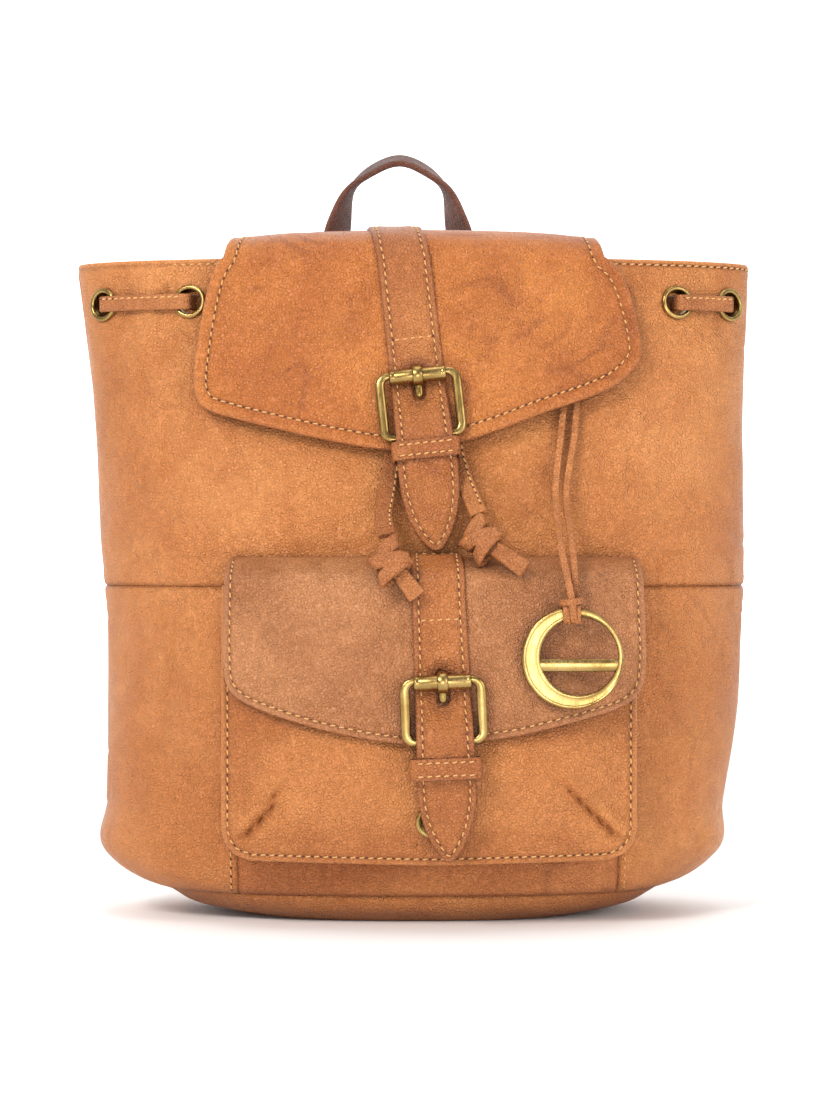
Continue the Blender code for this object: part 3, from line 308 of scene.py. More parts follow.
def strap_height(length, kind):
    heel = BUCKLE[kind]["heel"]
    marks = [(-1.0, 0.0003), (-0.003, 0.0003), (0.004, 0.0004), (0.013, 0.0026), (heel - 0.007, 0.007),
             (heel, 0.0084), (heel + 0.006, 0.0079), (heel + 0.013, 0.0064), (heel + 0.024, 0.0038),
             (heel + 0.04, 0.0012), (1.0, 0.0012)]
    xs, hs = zip(*marks)
    return np.mean([np.interp(np.asarray(length) + d, xs, hs) for d in (-0.003, -0.0015, 0, 0.0015,
            0.003)], axis=0)


def strap_points(kind, across, length, height):
    """Points on the strap's own axes, laid on its flap."""
    b = BUCKLE[kind]
    across, length = np.asarray(across, float), np.asarray(length, float)
    x = b["x"] + length * math.sin(b["lean"]) + across * math.cos(b["lean"])
    q = b["q"] + length * math.cos(b["lean"]) - across * math.sin(b["lean"])
    return lifted(SURFACE[kind], x, q, FLAP_STACK[kind] + np.asarray(height))


def buckle_axes(kind):
    """Origin and axes of the rigid buckle: across, down the strap and out of the bag."""
    heel = BUCKLE[kind]["heel"]
    at = strap_points(kind, np.array([0.0, 0.0, 0.01, -0.01]), np.array([0.0, heel, 0.0, 0.0]), 0.0)
    down = unit(at[1] - at[0])
    across = at[2] - at[3]
    across = unit(across - down * across.dot(down))
    return at[0], across, down, unit(np.cross(down, across))


def rigid(kind, points):
    origin, across, down, out = buckle_axes(kind)
    p = np.atleast_2d(np.asarray(points, float))
    return origin + p[:, :1] * across + p[:, 1:2] * down + p[:, 2:3] * out


# ---- outlines in flat coordinates ---------------------------------------------------------------
MAIN_OUTLINE = [
    (-0.096, 0.333), (-0.101, 0.325), (-0.106, 0.305), (-0.11, 0.274), (-0.1085, 0.262),
    (-0.101, 0.2545), (-0.0705, 0.246), (-0.035, 0.238), (-0.01, 0.2345), (0.01, 0.2352),
    (0.04, 0.244), (0.063, 0.253), (0.082, 0.2595), (0.0984, 0.2665), (0.1085, 0.2745),
    (0.114, 0.285), (0.111, 0.305), (0.1045, 0.324), (0.096, 0.333),
]
POCKET_FLAP_OUTLINE = [
    (-0.093, 0.16), (-0.093, 0.13), (-0.09, 0.117), (-0.079, 0.1092), (-0.0575, 0.1016),
    (-0.0346, 0.0957), (-0.0059, 0.0911), (0.015, 0.0908), (0.0346, 0.0928), (0.0541, 0.0957),
    (0.0853, 0.1036), (0.1034, 0.1099), (0.1117, 0.1187), (0.1136, 0.1348), (0.1128, 0.16),
]
POCKET_EDGE = np.array([(-0.0946, 0.3), (-0.0946, 0.048), (-0.0928, 0.0415), (-0.088, 0.036),
        (-0.08, 0.0332), (0.0075, 0.0312), (0.095, 0.0332), (0.103, 0.036), (0.1079, 0.0415),
        (0.1097, 0.048), (0.1097, 0.3)])


def main_flap_loop(root=0.0):
    """The main flap's cut, with ROOT more leather past its hinge."""
    curve = smooth([(x, FLAP_FRONT_Z - z) for x, z in MAIN_OUTLINE], 130)
    far = -FLAP_TOP - root
    top = [(0.093, -0.03), (0.092, -0.06), (0.09, -0.085), (0.088, -FLAP_TOP), (0.0875, far),
           (-0.0875, far), (-0.088, -FLAP_TOP), (-0.09, -0.085), (-0.092, -0.06), (-0.0935, -0.03)]
    return np.vstack([curve, top])


def pocket_flap_loop():
    curve = smooth([(x, POCKET_TURN + POCKET_FRONT_Z - z) for x, z in POCKET_FLAP_OUTLINE], 110)
    top = [(0.1125, 0.02), (0.112, 0.01), (0.1112, 0.0), (-0.092, 0.0), (-0.0925, 0.01), (-0.0928, 0.02)]
    return np.vstack([curve, top])


def strap_loop(kind):
    """Outline of a strap in (across, length)."""
    top, tip = {"main": (-0.168, 0.0868), "pocket": (-0.069, 0.0872)}[kind]
    wide = {"main": 0.0148, "pocket": 0.0144}[kind]
    right = [(0.0128, top), (0.0132, top * 0.33), (0.0135, -0.004), (0.0136, 0.012),
             (0.0138, 0.03), (wide, 0.046), (wide - 0.0004, 0.058)]
    point = smooth([(wide - 0.0004, 0.058), (wide - 0.0026, 0.069), (wide - 0.0065, 0.0785),
            (wide - 0.0115, tip - 0.0015), (0.0, tip)], 26)[1:]
    right = right + [tuple(p) for p in point]
    return np.array(right + [(-x, l) for x, l in reversed(right[:-1])])


def slot_loop():
    half, low, high = 0.0031, -0.006, 0.0115
    arc = np.radians(np.linspace(0, 180, 13))
    lower = np.column_stack([half * np.cos(arc), high - half + half * np.sin(arc)])
    upper = np.column_stack([-half * np.cos(arc), low + half - half * np.sin(arc)])
    return np.vstack([lower, upper])


# ---- meshes -------------------------------------------------------------------------------------
MATERIALS = {}


def linked(name, data):
    obj = bpy.data.objects.new(name, data)
    bpy.context.scene.collection.objects.link(obj)
    return obj


# the material slot of each look that isn't a slot's own name
SLOTS = {"under_leather": "body_leather", "pocket_leather": "body_leather", "thread": None}


def plain(verts):
    """The marks of a piece with no sewn line, worn edge or fold."""
    return {key: np.zeros(len(verts)) for key in ("edge", "seam", "fold")}


def add(name, verts, faces, look, body="bag", blends=None, replaces=None, slot=None, marks=None,
        sharp=55.0, new=False):
    """A smooth-shaded piece in the bag's frame, in place of the CAD node of its name unless it is NEW.

    MARKS are per-vertex numbers for the material, by name.
    """
    mesh = bpy.data.meshes.new(name)
    mesh.from_pydata(np.asarray(verts, float).tolist(), [], [list(map(int, f)) for f in faces])
    mesh.validate()
    mesh.shade_smooth()
    mesh.set_sharp_from_angle(angle=math.radians(sharp))
    mesh.materials.append(MATERIALS[look])
    for key, values in (marks or {}).items():
        mesh.attributes.new(key, "FLOAT", "POINT").data.foreach_set("value", np.asarray(values, np.float32))
    obj = linked(name, mesh)
    if blends:
        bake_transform(obj)
    else:
        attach(obj, body)
    if not new:
        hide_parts(*(replaces or [name]))
    slot = slot or SLOTS.get(look, look)
    return obj


def turned_out(verts, faces):
    """The faces of a closed mesh, turned to face out."""
    v = np.asarray(verts, float)
    total = 0.0
    for f in faces:
        a = v[f[0]]
        for i in range(1, len(f) - 1):
            total += np.dot(a, np.cross(v[f[i]], v[f[i + 1]]))
    return [tuple(reversed(f)) for f in faces] if total < 0 else faces


def grid_faces(rows, columns, start=0, wrap=False):
    """Quads of a grid of points stored row by row; WRAP joins the last column to the first."""
    r, c = np.meshgrid(np.arange(rows - 1), np.arange(columns if wrap else columns - 1), indexing="ij")
    right = (c + 1) % columns
    quads = np.stack([r * columns + c, r * columns + right, (r + 1) * columns + right,
            (r + 1) * columns + c], -1)
    return [tuple(q) for q in (quads.reshape(-1, 4) + start).tolist()]


def skin(loops, closed=False, capped=True):
    """Vertices and faces of equal closed loops joined in order."""
    loops = np.asarray(loops, float)
    rows, n = loops.shape[:2]
    faces = grid_faces(rows, n, wrap=True)
    if closed:
        last = (rows - 1) * n
        faces += [(last + i, last + (i + 1) % n, (i + 1) % n, i) for i in range(n)]
    elif capped:
        faces += [tuple(reversed(range(n))), tuple(range((rows - 1) * n, rows * n))]
    verts = loops.reshape(-1, 3)
    return verts, turned_out(verts, faces)


def section(kind, half_width, half_thick, sides=12):
    """Outline of a bar: a strip with rounded edges, or an oval."""
    if kind == "oval":
        a = np.linspace(0, 2 * np.pi, sides, endpoint=False)
        return np.column_stack([np.cos(a) * half_width, np.sin(a) * half_thick])
    r = min(half_thick * 0.9, half_width)
    corner = np.radians([0, 30, 60, 90])
    found = []
    for sx, sy, turn in ((1, 1, 0), (-1, 1, 90), (-1, -1, 180), (1, -1, 270)):
        a = corner + math.radians(turn)
        arc = np.column_stack([sx * (half_width - r) + r * np.cos(a),
                sy * (half_thick - r) + r * np.sin(a)])
        found.append(arc)
        if sx == sy:  # points across the flat face, so that it can be shaped
            for f in (0.8, 0.4, 0.0, -0.4, -0.8):
                found.append([[sx * (half_width - r) * f, sy * half_thick]])
    return np.vstack(found)


def frames_along(path, wide, closed=False):
    """Tangent, width and thickness directions at each point of a path."""
    path = np.asarray(path, float)
    ahead, behind = np.roll(path, -1, axis=0), np.roll(path, 1, axis=0)
    if not closed:
        ahead[-1], behind[0] = path[-1], path[0]
    along = unit(ahead - behind)
    w = np.broadcast_to(np.asarray(wide, float), path.shape)
    w = unit(w - along * (w * along).sum(1)[:, None])
    return along, w, np.cross(along, w)


def swept(path, wide, outline, closed=False, scale=None):
    """A bar or strip with this outline (width, thickness) along the path; SCALE is per point."""
    along, w, t = frames_along(path, wide, closed)
    outline = np.asarray(outline, float)
    if outline.ndim == 2:
        outline = np.broadcast_to(outline, (len(along), *outline.shape))
    if scale is not None:
        outline = outline * np.asarray(scale, float).reshape(-1, 1, 1)
    path = np.asarray(path, float)[:, None]
    loops = path + w[:, None] * outline[..., :1] + t[:, None] * outline[..., 1:]
    return skin(loops, closed)


def turned(profile, centre, axis, sides=48, closed=True):
    """A turned shape: profile of (radius, distance along the axis)."""
    axis = Vector(axis).normalized()
    side = axis.orthogonal().normalized()
    other = axis.cross(side)
    a = np.linspace(0, 2 * np.pi, sides, endpoint=False)
    circle = np.cos(a)[:, None] * np.array(side) + np.sin(a)[:, None] * np.array(other)
    loops = [np.array(centre) + np.array(axis) * along + circle * radius for radius, along in profile]
    return skin(loops, closed)


def joined(*shapes):
    """Several (verts, faces) as one."""
    verts, faces, start = [], [], 0
    for v, f in shapes:
        verts.append(np.asarray(v, float))
        faces += [tuple(i + start for i in face) for face in f]
        start += len(v)
    return np.vstack(verts), faces


# ---- flat cuts of leather -----------------------------------------------------------------------
def inside(points, loop):
    x, y = points[:, 0], points[:, 1]
    found = np.zeros(len(points), bool)
    for (ax, ay), (bx, by) in zip(loop, np.roll(loop, -1, axis=0)):
        if ay != by:
            found ^= ((ay > y) != (by > y)) & (x < (bx - ax) * (y - ay) / (by - ay) + ax)
    return found


def edge_distance(points, line, closed=True):
    """Distance from each point to a loop, or to an open line."""
    line = np.asarray(line, float)
    a, b = (line, np.roll(line, -1, axis=0)) if closed else (line[:-1], line[1:])
    nearest = np.full(len(points), 1e9)
    for p, q in zip(a, b):
        d = q - p
        t = np.clip(((points - p) @ d) / max(d @ d, 1e-14), 0, 1)
        nearest = np.minimum(nearest, np.hypot(*(p + t[:, None] * d - points).T))
    return nearest


def shrunk(loop, by):
    """The loop moved inwards, its corners kept from folding over."""
    loop = np.asarray(loop, float)
    ahead, behind = np.roll(loop, -1, axis=0), np.roll(loop, 1, axis=0)
    before, after = unit(loop - behind), unit(ahead - loop)
    area = 0.5 * np.sum(loop[:, 0] * ahead[:, 1] - ahead[:, 0] * loop[:, 1])
    sign = 1.0 if area > 0 else -1.0
    normal = unit(np.column_stack([-(before + after)[:, 1], (before + after)[:, 0]])) * sign
    miter = 1 / np.maximum((normal * np.column_stack([-after[:, 1], after[:, 0]]) * sign).sum(1), 0.6)
    moved = loop + normal * (by * miter)[:, None]
    keep = edge_distance(moved, loop) > abs(by) * 0.93
    return moved[keep]


EDGE_ROWS = (0.00035, 0.0008, 0.0014, 0.0021, 0.0028, 0.0035, 0.0043, 0.0055, 0.007)


def cut_mesh(outline, spacing, fine=0.0018, rows=EDGE_ROWS, holes=(), lines=()):
    """Triangles over a flat outline, with rows of points following its edge."""
    outline = even(outline, fine, closed=True)
    loops = [outline] + [np.asarray(h, float) for h in holes]
    depth = [np.zeros(len(loop)) for loop in loops]
    points = list(loops)
    for row in rows:
        inner = shrunk(outline, row)
        points.append(inner)
        depth.append(np.full(len(inner), row))
    for line in lines:
        points.append(np.asarray(line, float))
    low, high = outline.min(0), outline.max(0)
    u = np.arange(low[0], high[0], spacing)
    v = np.arange(low[1], high[1], spacing * 0.87)
    gu, gv = np.meshgrid(u, v)
    gu = gu + (np.arange(len(v)) % 2)[:, None] * spacing / 2
    grid = np.column_stack([gu.ravel(), gv.ravel()])
    grid = grid[inside(grid, outline)]
    grid = grid[edge_distance(grid, outline) > rows[-1] + spacing * 0.5]
    for h in holes:
        grid = grid[~inside(grid, h)]
        grid = grid[edge_distance(grid, h) > spacing * 0.4]
    for k in range(1, len(points)):
        if k >= len(loops):
            for h in holes:
                keep = ~inside(points[k], h) & (edge_distance(points[k], h) > 0.0003)
                points[k] = points[k][keep]
    edges, start = [], 0
    for loop in loops:
        edges += [(start + i, start + (i + 1) % len(loop)) for i in range(len(loop))]
        start += len(loop)
    everything = np.vstack([*points, grid])
    found = delaunay_2d_cdt([Vector(p) for p in everything], edges, [], 0, 1e-7)
    flat = np.array([tuple(p) for p in found[0]])
    faces = np.array([tuple(f) for f in found[2]])
    centres = flat[faces].mean(1)
    keep = inside(centres, outline)
    for h in holes:
        keep &= ~inside(centres, h)
    faces = faces[keep]
    ring = edge_distance(flat, outline)
    for h in holes:
        ring = np.minimum(ring, edge_distance(flat, h))
    return flat, faces, ring


def relief(distance, thick, seam=None, roll=0.0):
    """Height of a cut's face over its back: rounded edge, rolled rim and stitch groove."""
    r = np.clip(distance / 0.0011, 0, 1)
    height = thick * (0.35 + 0.65 * np.sqrt(1 - (1 - r) ** 2))
    height = height + roll * bump(distance - 0.0021, 0.0014)
    if seam:
        height = height - 0.00042 * bump(distance - seam,
                0.0008) + 0.00025 * bump(distance - seam - 0.0024, 0.0016)
    return height


def two_sided(flat, faces, place, heights, under=0.0):
    """A closed sheet from its cut: place(u, v, height) for the face and for the back."""
    n = len(flat)
    once = set()
    for a, b, c in faces.tolist():
        once.update(((a, b), (b, c), (c, a)))
    border = [e for e in once if (e[1], e[0]) not in once]
    top = place(flat[:, 0], flat[:, 1], heights)
    back = place(flat[:, 0], flat[:, 1], np.broadcast_to(under, n))
    faces = faces.tolist()
    skins = [(a + n, b + n, c + n) for a, b, c in faces] + [(c, b, a) for a, b, c in faces]
    skins += [(a, b, b + n, a + n) for a, b in border]
    return np.vstack([back, top]), turned_out(np.vstack([back, top]), skins)


def leather_cut(name, outline, place, look, thick=STRAP, seam=None, roll=0.0, spacing=0.0026, holes=(),
        shape=None, rows=EDGE_ROWS, **settings):
    """A cut of leather laid by place(u, v, height), with its edge rounded and its stitch line sunk."""
    flat, faces, ring = cut_mesh(outline, spacing, rows=rows, holes=holes)
    heights = relief(ring, thick, seam, roll)
    if shape is not None:
        heights = heights + shape(flat, ring)
    verts, skins = two_sided(flat, faces, place, heights)
    groove = bump(ring - seam, 0.0011) if seam else 0 * ring
    # fold is the relief height; the leather paints shade in its dips and highlight on its rises from it.
    marks = {"edge": np.tile(np.exp(-ring / 0.0011), 2), "seam": np.tile(groove, 2),
             "fold": np.tile(np.clip(heights - thick, -0.002, 0.002) / 0.001, 2)}
    return add(name, verts, skins, look, marks=marks, **settings)


# ---- stitches -----------------------------------------------------------------------------------
def stitch_shape():
    """One stitch along X: a thread that dives at both ends."""
    rows, sides = 7, 6
    u = np.linspace(-1, 1, rows)
    a = np.linspace(0, 2 * np.pi, sides, endpoint=False)
    thick = THREAD * (0.55 + 0.45 * (1 - u**4))
    rise = 0.0003 - 0.00075 * np.abs(u) ** 3
    loops = np.stack([np.column_stack([np.full(sides, x * STITCH / 2), np.cos(a) * t,
            np.sin(a) * t * 0.8 + h]) for x, t, h in zip(u, thick, rise)])
    return skin(loops)


STITCH_VERTS, STITCH_FACES = stitch_shape()


# A flat dark disc at a needle hole: painted shade inside the hole.
def hole_shape():
    a = np.linspace(0, 2 * np.pi, 8, endpoint=False)
    return np.column_stack([np.cos(a) * 0.0008, np.sin(a) * 0.00052, np.full(8, 0.0001)])


def stitches(name, path, normals, body="bag", pitch=PITCH):
    """A row of stitches along a line of points on a surface, and dark discs between them: painted shade in
    the needle holes.
    """
    path, normals = np.asarray(path, float), np.asarray(normals, float)
    lengths = np.concatenate([[0], np.cumsum(np.linalg.norm(np.diff(path, axis=0), axis=1))])
    count = max(2, int(lengths[-1] / pitch))
    middles = (np.arange(count) + 0.5) * lengths[-1] / count
    holes = np.arange(count + 1) * lengths[-1] / count

    def at(where, values):
        return np.column_stack([np.interp(where, lengths, values[:, k]) for k in range(3)])

    def axes(where):
        along = unit(at(np.minimum(where + 0.001, lengths[-1]), path) - at(np.maximum(where - 0.001, 0),
                path))
        out = at(where, normals)
        out = unit(out - along * (out * along).sum(1)[:, None])
        return along, np.cross(out, along), out

    along, side, out = axes(middles)
    turn = math.radians(STITCH_SLANT)
    wander = 0.00012 * np.column_stack([lattice(np.arange(count), k, len(name), 5) - 0.5 for k in range(2)])
    x_axis = along * math.cos(turn) + side * math.sin(turn)
    y_axis = np.cross(out, x_axis)
    base = at(middles, path) + along * wander[:, :1] + side * wander[:, 1:]
    verts = (base[:, None] + x_axis[:, None] * STITCH_VERTS[:, 0, None] + y_axis[:,
            None] * STITCH_VERTS[:, 1, None] + out[:, None] * STITCH_VERTS[:, 2, None]).reshape(-1, 3)
    faces = [tuple(i + k * len(STITCH_VERTS) for i in f) for k in range(count) for f in STITCH_FACES]
    disc = hole_shape()
    along, side, out = axes(holes)
    spots = (at(holes, path)[:, None] + along[:, None] * disc[:, 0, None] + side[:, None] * disc[:, 1, None]
             + out[:, None] * disc[:, 2, None]).reshape(-1, 3)
    dark_from = len(faces)
    faces += [tuple(len(verts) + 8 * k + i for i in range(8)) for k in range(count + 1)]
    obj = add(name, np.vstack([verts, spots]), faces, "thread", body=body, sharp=80.0, new=True)
    obj.data.materials.append(MATERIALS["needle_hole"])
    index = np.zeros(len(obj.data.polygons), np.int32)
    index[dark_from:] = 1
    obj.data.polygons.foreach_set("material_index", index)
    return obj


def line_on(place, flat_line, height=0.0, step=0.0012, closed=False):
    """Points and outward normals of a flat line laid by place(u, v, height)."""
    flat = even(flat_line, step, closed)
    if closed:
        flat = np.vstack([flat, flat[:1]])
    high = place(flat[:, 0], flat[:, 1], np.broadcast_to(height, len(flat)))
    low = place(flat[:, 0], flat[:, 1], np.broadcast_to(height - 0.001, len(flat)))
    return high, unit(high - low)


def sewn(name, place, line, height, closed=False, **settings):
    """A row of stitches along a flat line laid by place(u, v, height)."""
    points, normals = line_on(place, line, height, closed=closed)
    return stitches(name, points, normals, **settings)


# ---- materials ----------------------------------------------------------------------------------
class Graph:
    """Short calls for making a material's nodes."""

    def __init__(self, name):
        self.material = bpy.data.materials.new(name)
        self.material.use_nodes = True
        self.tree = self.material.node_tree
        self.shader = self.tree.nodes["Principled BSDF"]
        self.at = self.node("ShaderNodeTexCoord").outputs["Object"]
        MATERIALS[name] = self.material

    def node(self, kind, **settings):
        made = self.tree.nodes.new(kind)
        for key, value in settings.items():
            setattr(made, key, value)
        return made

    def put(self, socket, value):
        if isinstance(value, bpy.types.NodeSocket):
            self.tree.links.new(value, socket)
        else:
            socket.default_value = value

    def math(self, operation, a, b=0.0, clamp=False):
        made = self.node("ShaderNodeMath", operation=operation, use_clamp=clamp)
        self.put(made.inputs[0], a)
        self.put(made.inputs[1], b)
        return made.outputs[0]

    def noise(self, scale, detail=4.0, rough=0.55, warp=0.0, stretch=(1, 1, 1)):
        mapping = self.node("ShaderNodeMapping")
        self.put(mapping.inputs["Vector"], self.at)
        mapping.inputs["Scale"].default_value = stretch
        made = self.node("ShaderNodeTexNoise")
        self.put(made.inputs["Vector"], mapping.outputs[0])
        for key, value in (("Scale", scale), ("Detail", detail), ("Roughness", rough),
                ("Distortion", warp)):
            made.inputs[key].default_value = value
        return made.outputs["Fac"]

    def cells(self, scale):
        made = self.node("ShaderNodeTexVoronoi", feature="DISTANCE_TO_EDGE")
        self.put(made.inputs["Vector"], self.at)
        made.inputs["Scale"].default_value = scale
        return made.outputs["Distance"]

    def remap(self, value, low, high, to_low=0.0, to_high=1.0):
        made = self.node("ShaderNodeMapRange", clamp=True, interpolation_type="SMOOTHSTEP")
        for key, v in (("Value", value), ("From Min", low), ("From Max", high), ("To Min", to_low),
                ("To Max", to_high)):
            self.put(made.inputs[key], v)
        return made.outputs["Result"]

    def mix(self, factor, a, b, mode="MIX"):
        made = self.node("ShaderNodeMix", data_type="RGBA", blend_type=mode)
        self.put(made.inputs["Factor"], factor)
        self.put(made.inputs["A"], (*a, 1.0) if isinstance(a, tuple) else a)
        self.put(made.inputs["B"], (*b, 1.0) if isinstance(b, tuple) else b)
        return made.outputs["Result"]

    def mark(self, name):
        return self.node("ShaderNodeAttribute", attribute_name=name).outputs["Fac"]

    def bump(self, height, strength, distance, under=None):
        made = self.node("ShaderNodeBump")
        made.inputs["Strength"].default_value = strength
        made.inputs["Distance"].default_value = distance
        self.put(made.inputs["Height"], height)
        if under is not None:
            self.put(made.inputs["Normal"], under)
        return made.outputs["Normal"]

    def finish(self, colour, rough, normal=None, metal=0.0, specular=0.45, coat=0.0, sheen=0.0):
        self.put(self.shader.inputs["Base Color"],
                colour if not isinstance(colour, tuple) else (*colour, 1.0))
        self.put(self.shader.inputs["Roughness"], rough)
        self.shader.inputs["Metallic"].default_value = metal
        self.shader.inputs["Specular IOR Level"].default_value = specular
        self.shader.inputs["Coat Weight"].default_value = coat
        self.shader.inputs["Coat Roughness"].default_value = 0.35
        self.shader.inputs["Sheen Weight"].default_value = sheen
        self.shader.inputs["Sheen Roughness"].default_value = 0.5
        if normal is not None:
            self.put(self.shader.inputs["Normal"], normal)
        return self.material


def leather(name, light, middle, dark, vein=0.5, rough=0.46, seed=0.0, edge_tone=None, coat=0.0, sheen=0.0):
    """Vegetable-tanned leather: cloudy colour, marbled veins, pores, worn edges and dark stitch grooves, with
    painted shade in its dips and where nearby parts occlude it, and painted highlight on its rises.
    """
    g = Graph(name)
    shifted = g.node("ShaderNodeVectorMath", operation="ADD")
    g.put(shifted.inputs[0], g.at)
    shifted.inputs[1].default_value = (seed, seed * 0.7, seed * 1.3)
    g.at = shifted.outputs[0]
    clouds = g.remap(g.noise(9.0, 4.0, 0.6, 0.4), 0.34, 0.68)
    patches = g.remap(g.noise(30.0, 5.0, 0.62, 0.8), 0.4, 0.66)
    tone = g.mix(clouds, dark, light)
    tone = g.mix(0.5, tone, middle)
    tone = g.mix(g.math("MULTIPLY", patches, 0.45), tone, dark)
    ridge = g.math("ABSOLUTE", g.math("SUBTRACT", g.noise(15.0, 1.5, 0.5, 1.4), 0.5))
    veins = g.math("MULTIPLY", g.remap(ridge, 0.0, 0.045, 1.0, 0.0), g.remap(g.noise(24.0, 3.0), 0.5, 0.66))
    fine_ridge = g.math("ABSOLUTE", g.math("SUBTRACT", g.noise(48.0, 2.0, 0.5, 1.2, (1, 1, 0.6)), 0.5))
    hairs = g.math("MULTIPLY", g.remap(fine_ridge, 0.0, 0.05, 1.0, 0.0),
            g.remap(g.noise(34.0, 2.0), 0.5, 0.64))
    tone = g.mix(g.math("MULTIPLY", veins, vein), tone, tuple(c * 0.72 for c in dark))
    tone = g.mix(g.math("MULTIPLY", hairs, vein * 0.45), tone, tuple(c * 0.75 for c in dark))
    pores = g.cells(620.0)
    tone = g.mix(g.remap(pores, 0.0, 0.1, 0.16, 0.0), tone, tuple(c * 0.5 for c in dark))
    tone = g.mix(g.math("MULTIPLY", g.mark("seam"), 0.5), tone, tuple(c * 0.55 for c in dark))
    tone = g.mix(g.math("MULTIPLY", g.mark("edge"), 0.55), tone,
            edge_tone or tuple(min(1.0, c * 1.25) for c in light))
    # Painted shade: darker where the relief height dips below the surface, in creases and pleats.
    painted_dip_shade = g.remap(g.mark("fold"), -2.4, -0.3, 0.22, 0.0)
    tone = g.mix(painted_dip_shade, tone, tuple(c * 0.6 for c in dark))
    # Painted shade: darker where nearby parts occlude the leather (ambient occlusion), as under the flaps.
    shade = g.node("ShaderNodeAmbientOcclusion", samples=6)
    shade.inputs["Distance"].default_value = 0.018
    tone = g.mix(g.remap(shade.outputs["AO"], 0.25, 0.92, 0.7, 0.0), tone, tuple(c * 0.45 for c in dark))
    # Painted highlight: lighter where the relief stands up above the surface.
    painted_rise_highlight = g.remap(g.mark("fold"), 0.1, 1.4, 0.0, 0.3)
    tone = g.mix(painted_rise_highlight, tone, tuple(min(1.0, c * 1.12) for c in light))
    grain = g.bump(g.remap(pores, 0.0, 0.3), 0.8, 0.0008)
    grain = g.bump(g.noise(230.0, 4.0, 0.6), 0.7, 0.0016, grain)
    grain = g.bump(g.noise(80.0, 3.0, 0.5), 0.6, 0.0022, grain)
    soft = g.bump(g.noise(26.0, 3.0, 0.5, 0.4), 0.6, 0.006, grain)
    crease = g.math("ADD", g.math("MULTIPLY", veins, -0.5), g.math("MULTIPLY", hairs, -0.4))
    normal = g.bump(crease, 0.25, 0.0006, soft)
    shine = g.remap(g.noise(26.0, 4.0, 0.6), 0.3, 0.7, rough - 0.07, rough + 0.08)
    g.finish(tone, shine, normal, coat=coat, sheen=sheen)


def brass(name):
    """Antiqued brass, rubbed bright in places and finely scratched, with painted shade where nearby parts and
    recesses occlude it.
    """
    g = Graph(name)
    wear = g.remap(g.noise(60.0, 3.0, 0.5), 0.3, 0.7)
    tone = g.mix(wear, srgb(140, 112, 62), srgb(184, 154, 96))
    # Painted shade: near black where nearby parts and recesses occlude the brass (ambient occlusion).
    occluded = g.node("ShaderNodeAmbientOcclusion", samples=8)
    occluded.inputs["Distance"].default_value = 0.004
    tone = g.mix(g.remap(occluded.outputs["AO"], 0.3, 0.85, 0.85, 0.0), tone, srgb(44, 32, 16))
    scratches = g.noise(900.0, 2.0, 0.6, 0.0, (1, 1, 0.06))
    shine = g.remap(scratches, 0.3, 0.7, 0.22, 0.36)
    normal = g.bump(g.noise(240.0, 3.0, 0.6), 0.05, 0.0003)
    g.finish(tone, shine, normal, metal=1.0)


def fabric(name, light, dark):
    """A plain woven lining."""
    g = Graph(name)
    waves = []
    for axis in ((1400.0, 0, 0), (0, 0, 1400.0)):
        mapping = g.node("ShaderNodeVectorMath", operation="DOT_PRODUCT")
        g.put(mapping.inputs[0], g.at)
        mapping.inputs[1].default_value = (axis[0], axis[0] * 0.6 + axis[2] * 0.2, axis[2])
        waves.append(g.math("SINE", mapping.outputs["Value"]))
    weave = g.math("MULTIPLY", waves[0], waves[1])
    tone = g.mix(g.remap(weave, -1.0, 1.0), dark, light)
    tone = g.mix(g.remap(g.noise(40.0), 0.35, 0.7, 0.0, 0.35), tone, dark)
    g.finish(tone, 0.88, g.bump(weave, 0.4, 0.0003), specular=0.2, sheen=0.25)


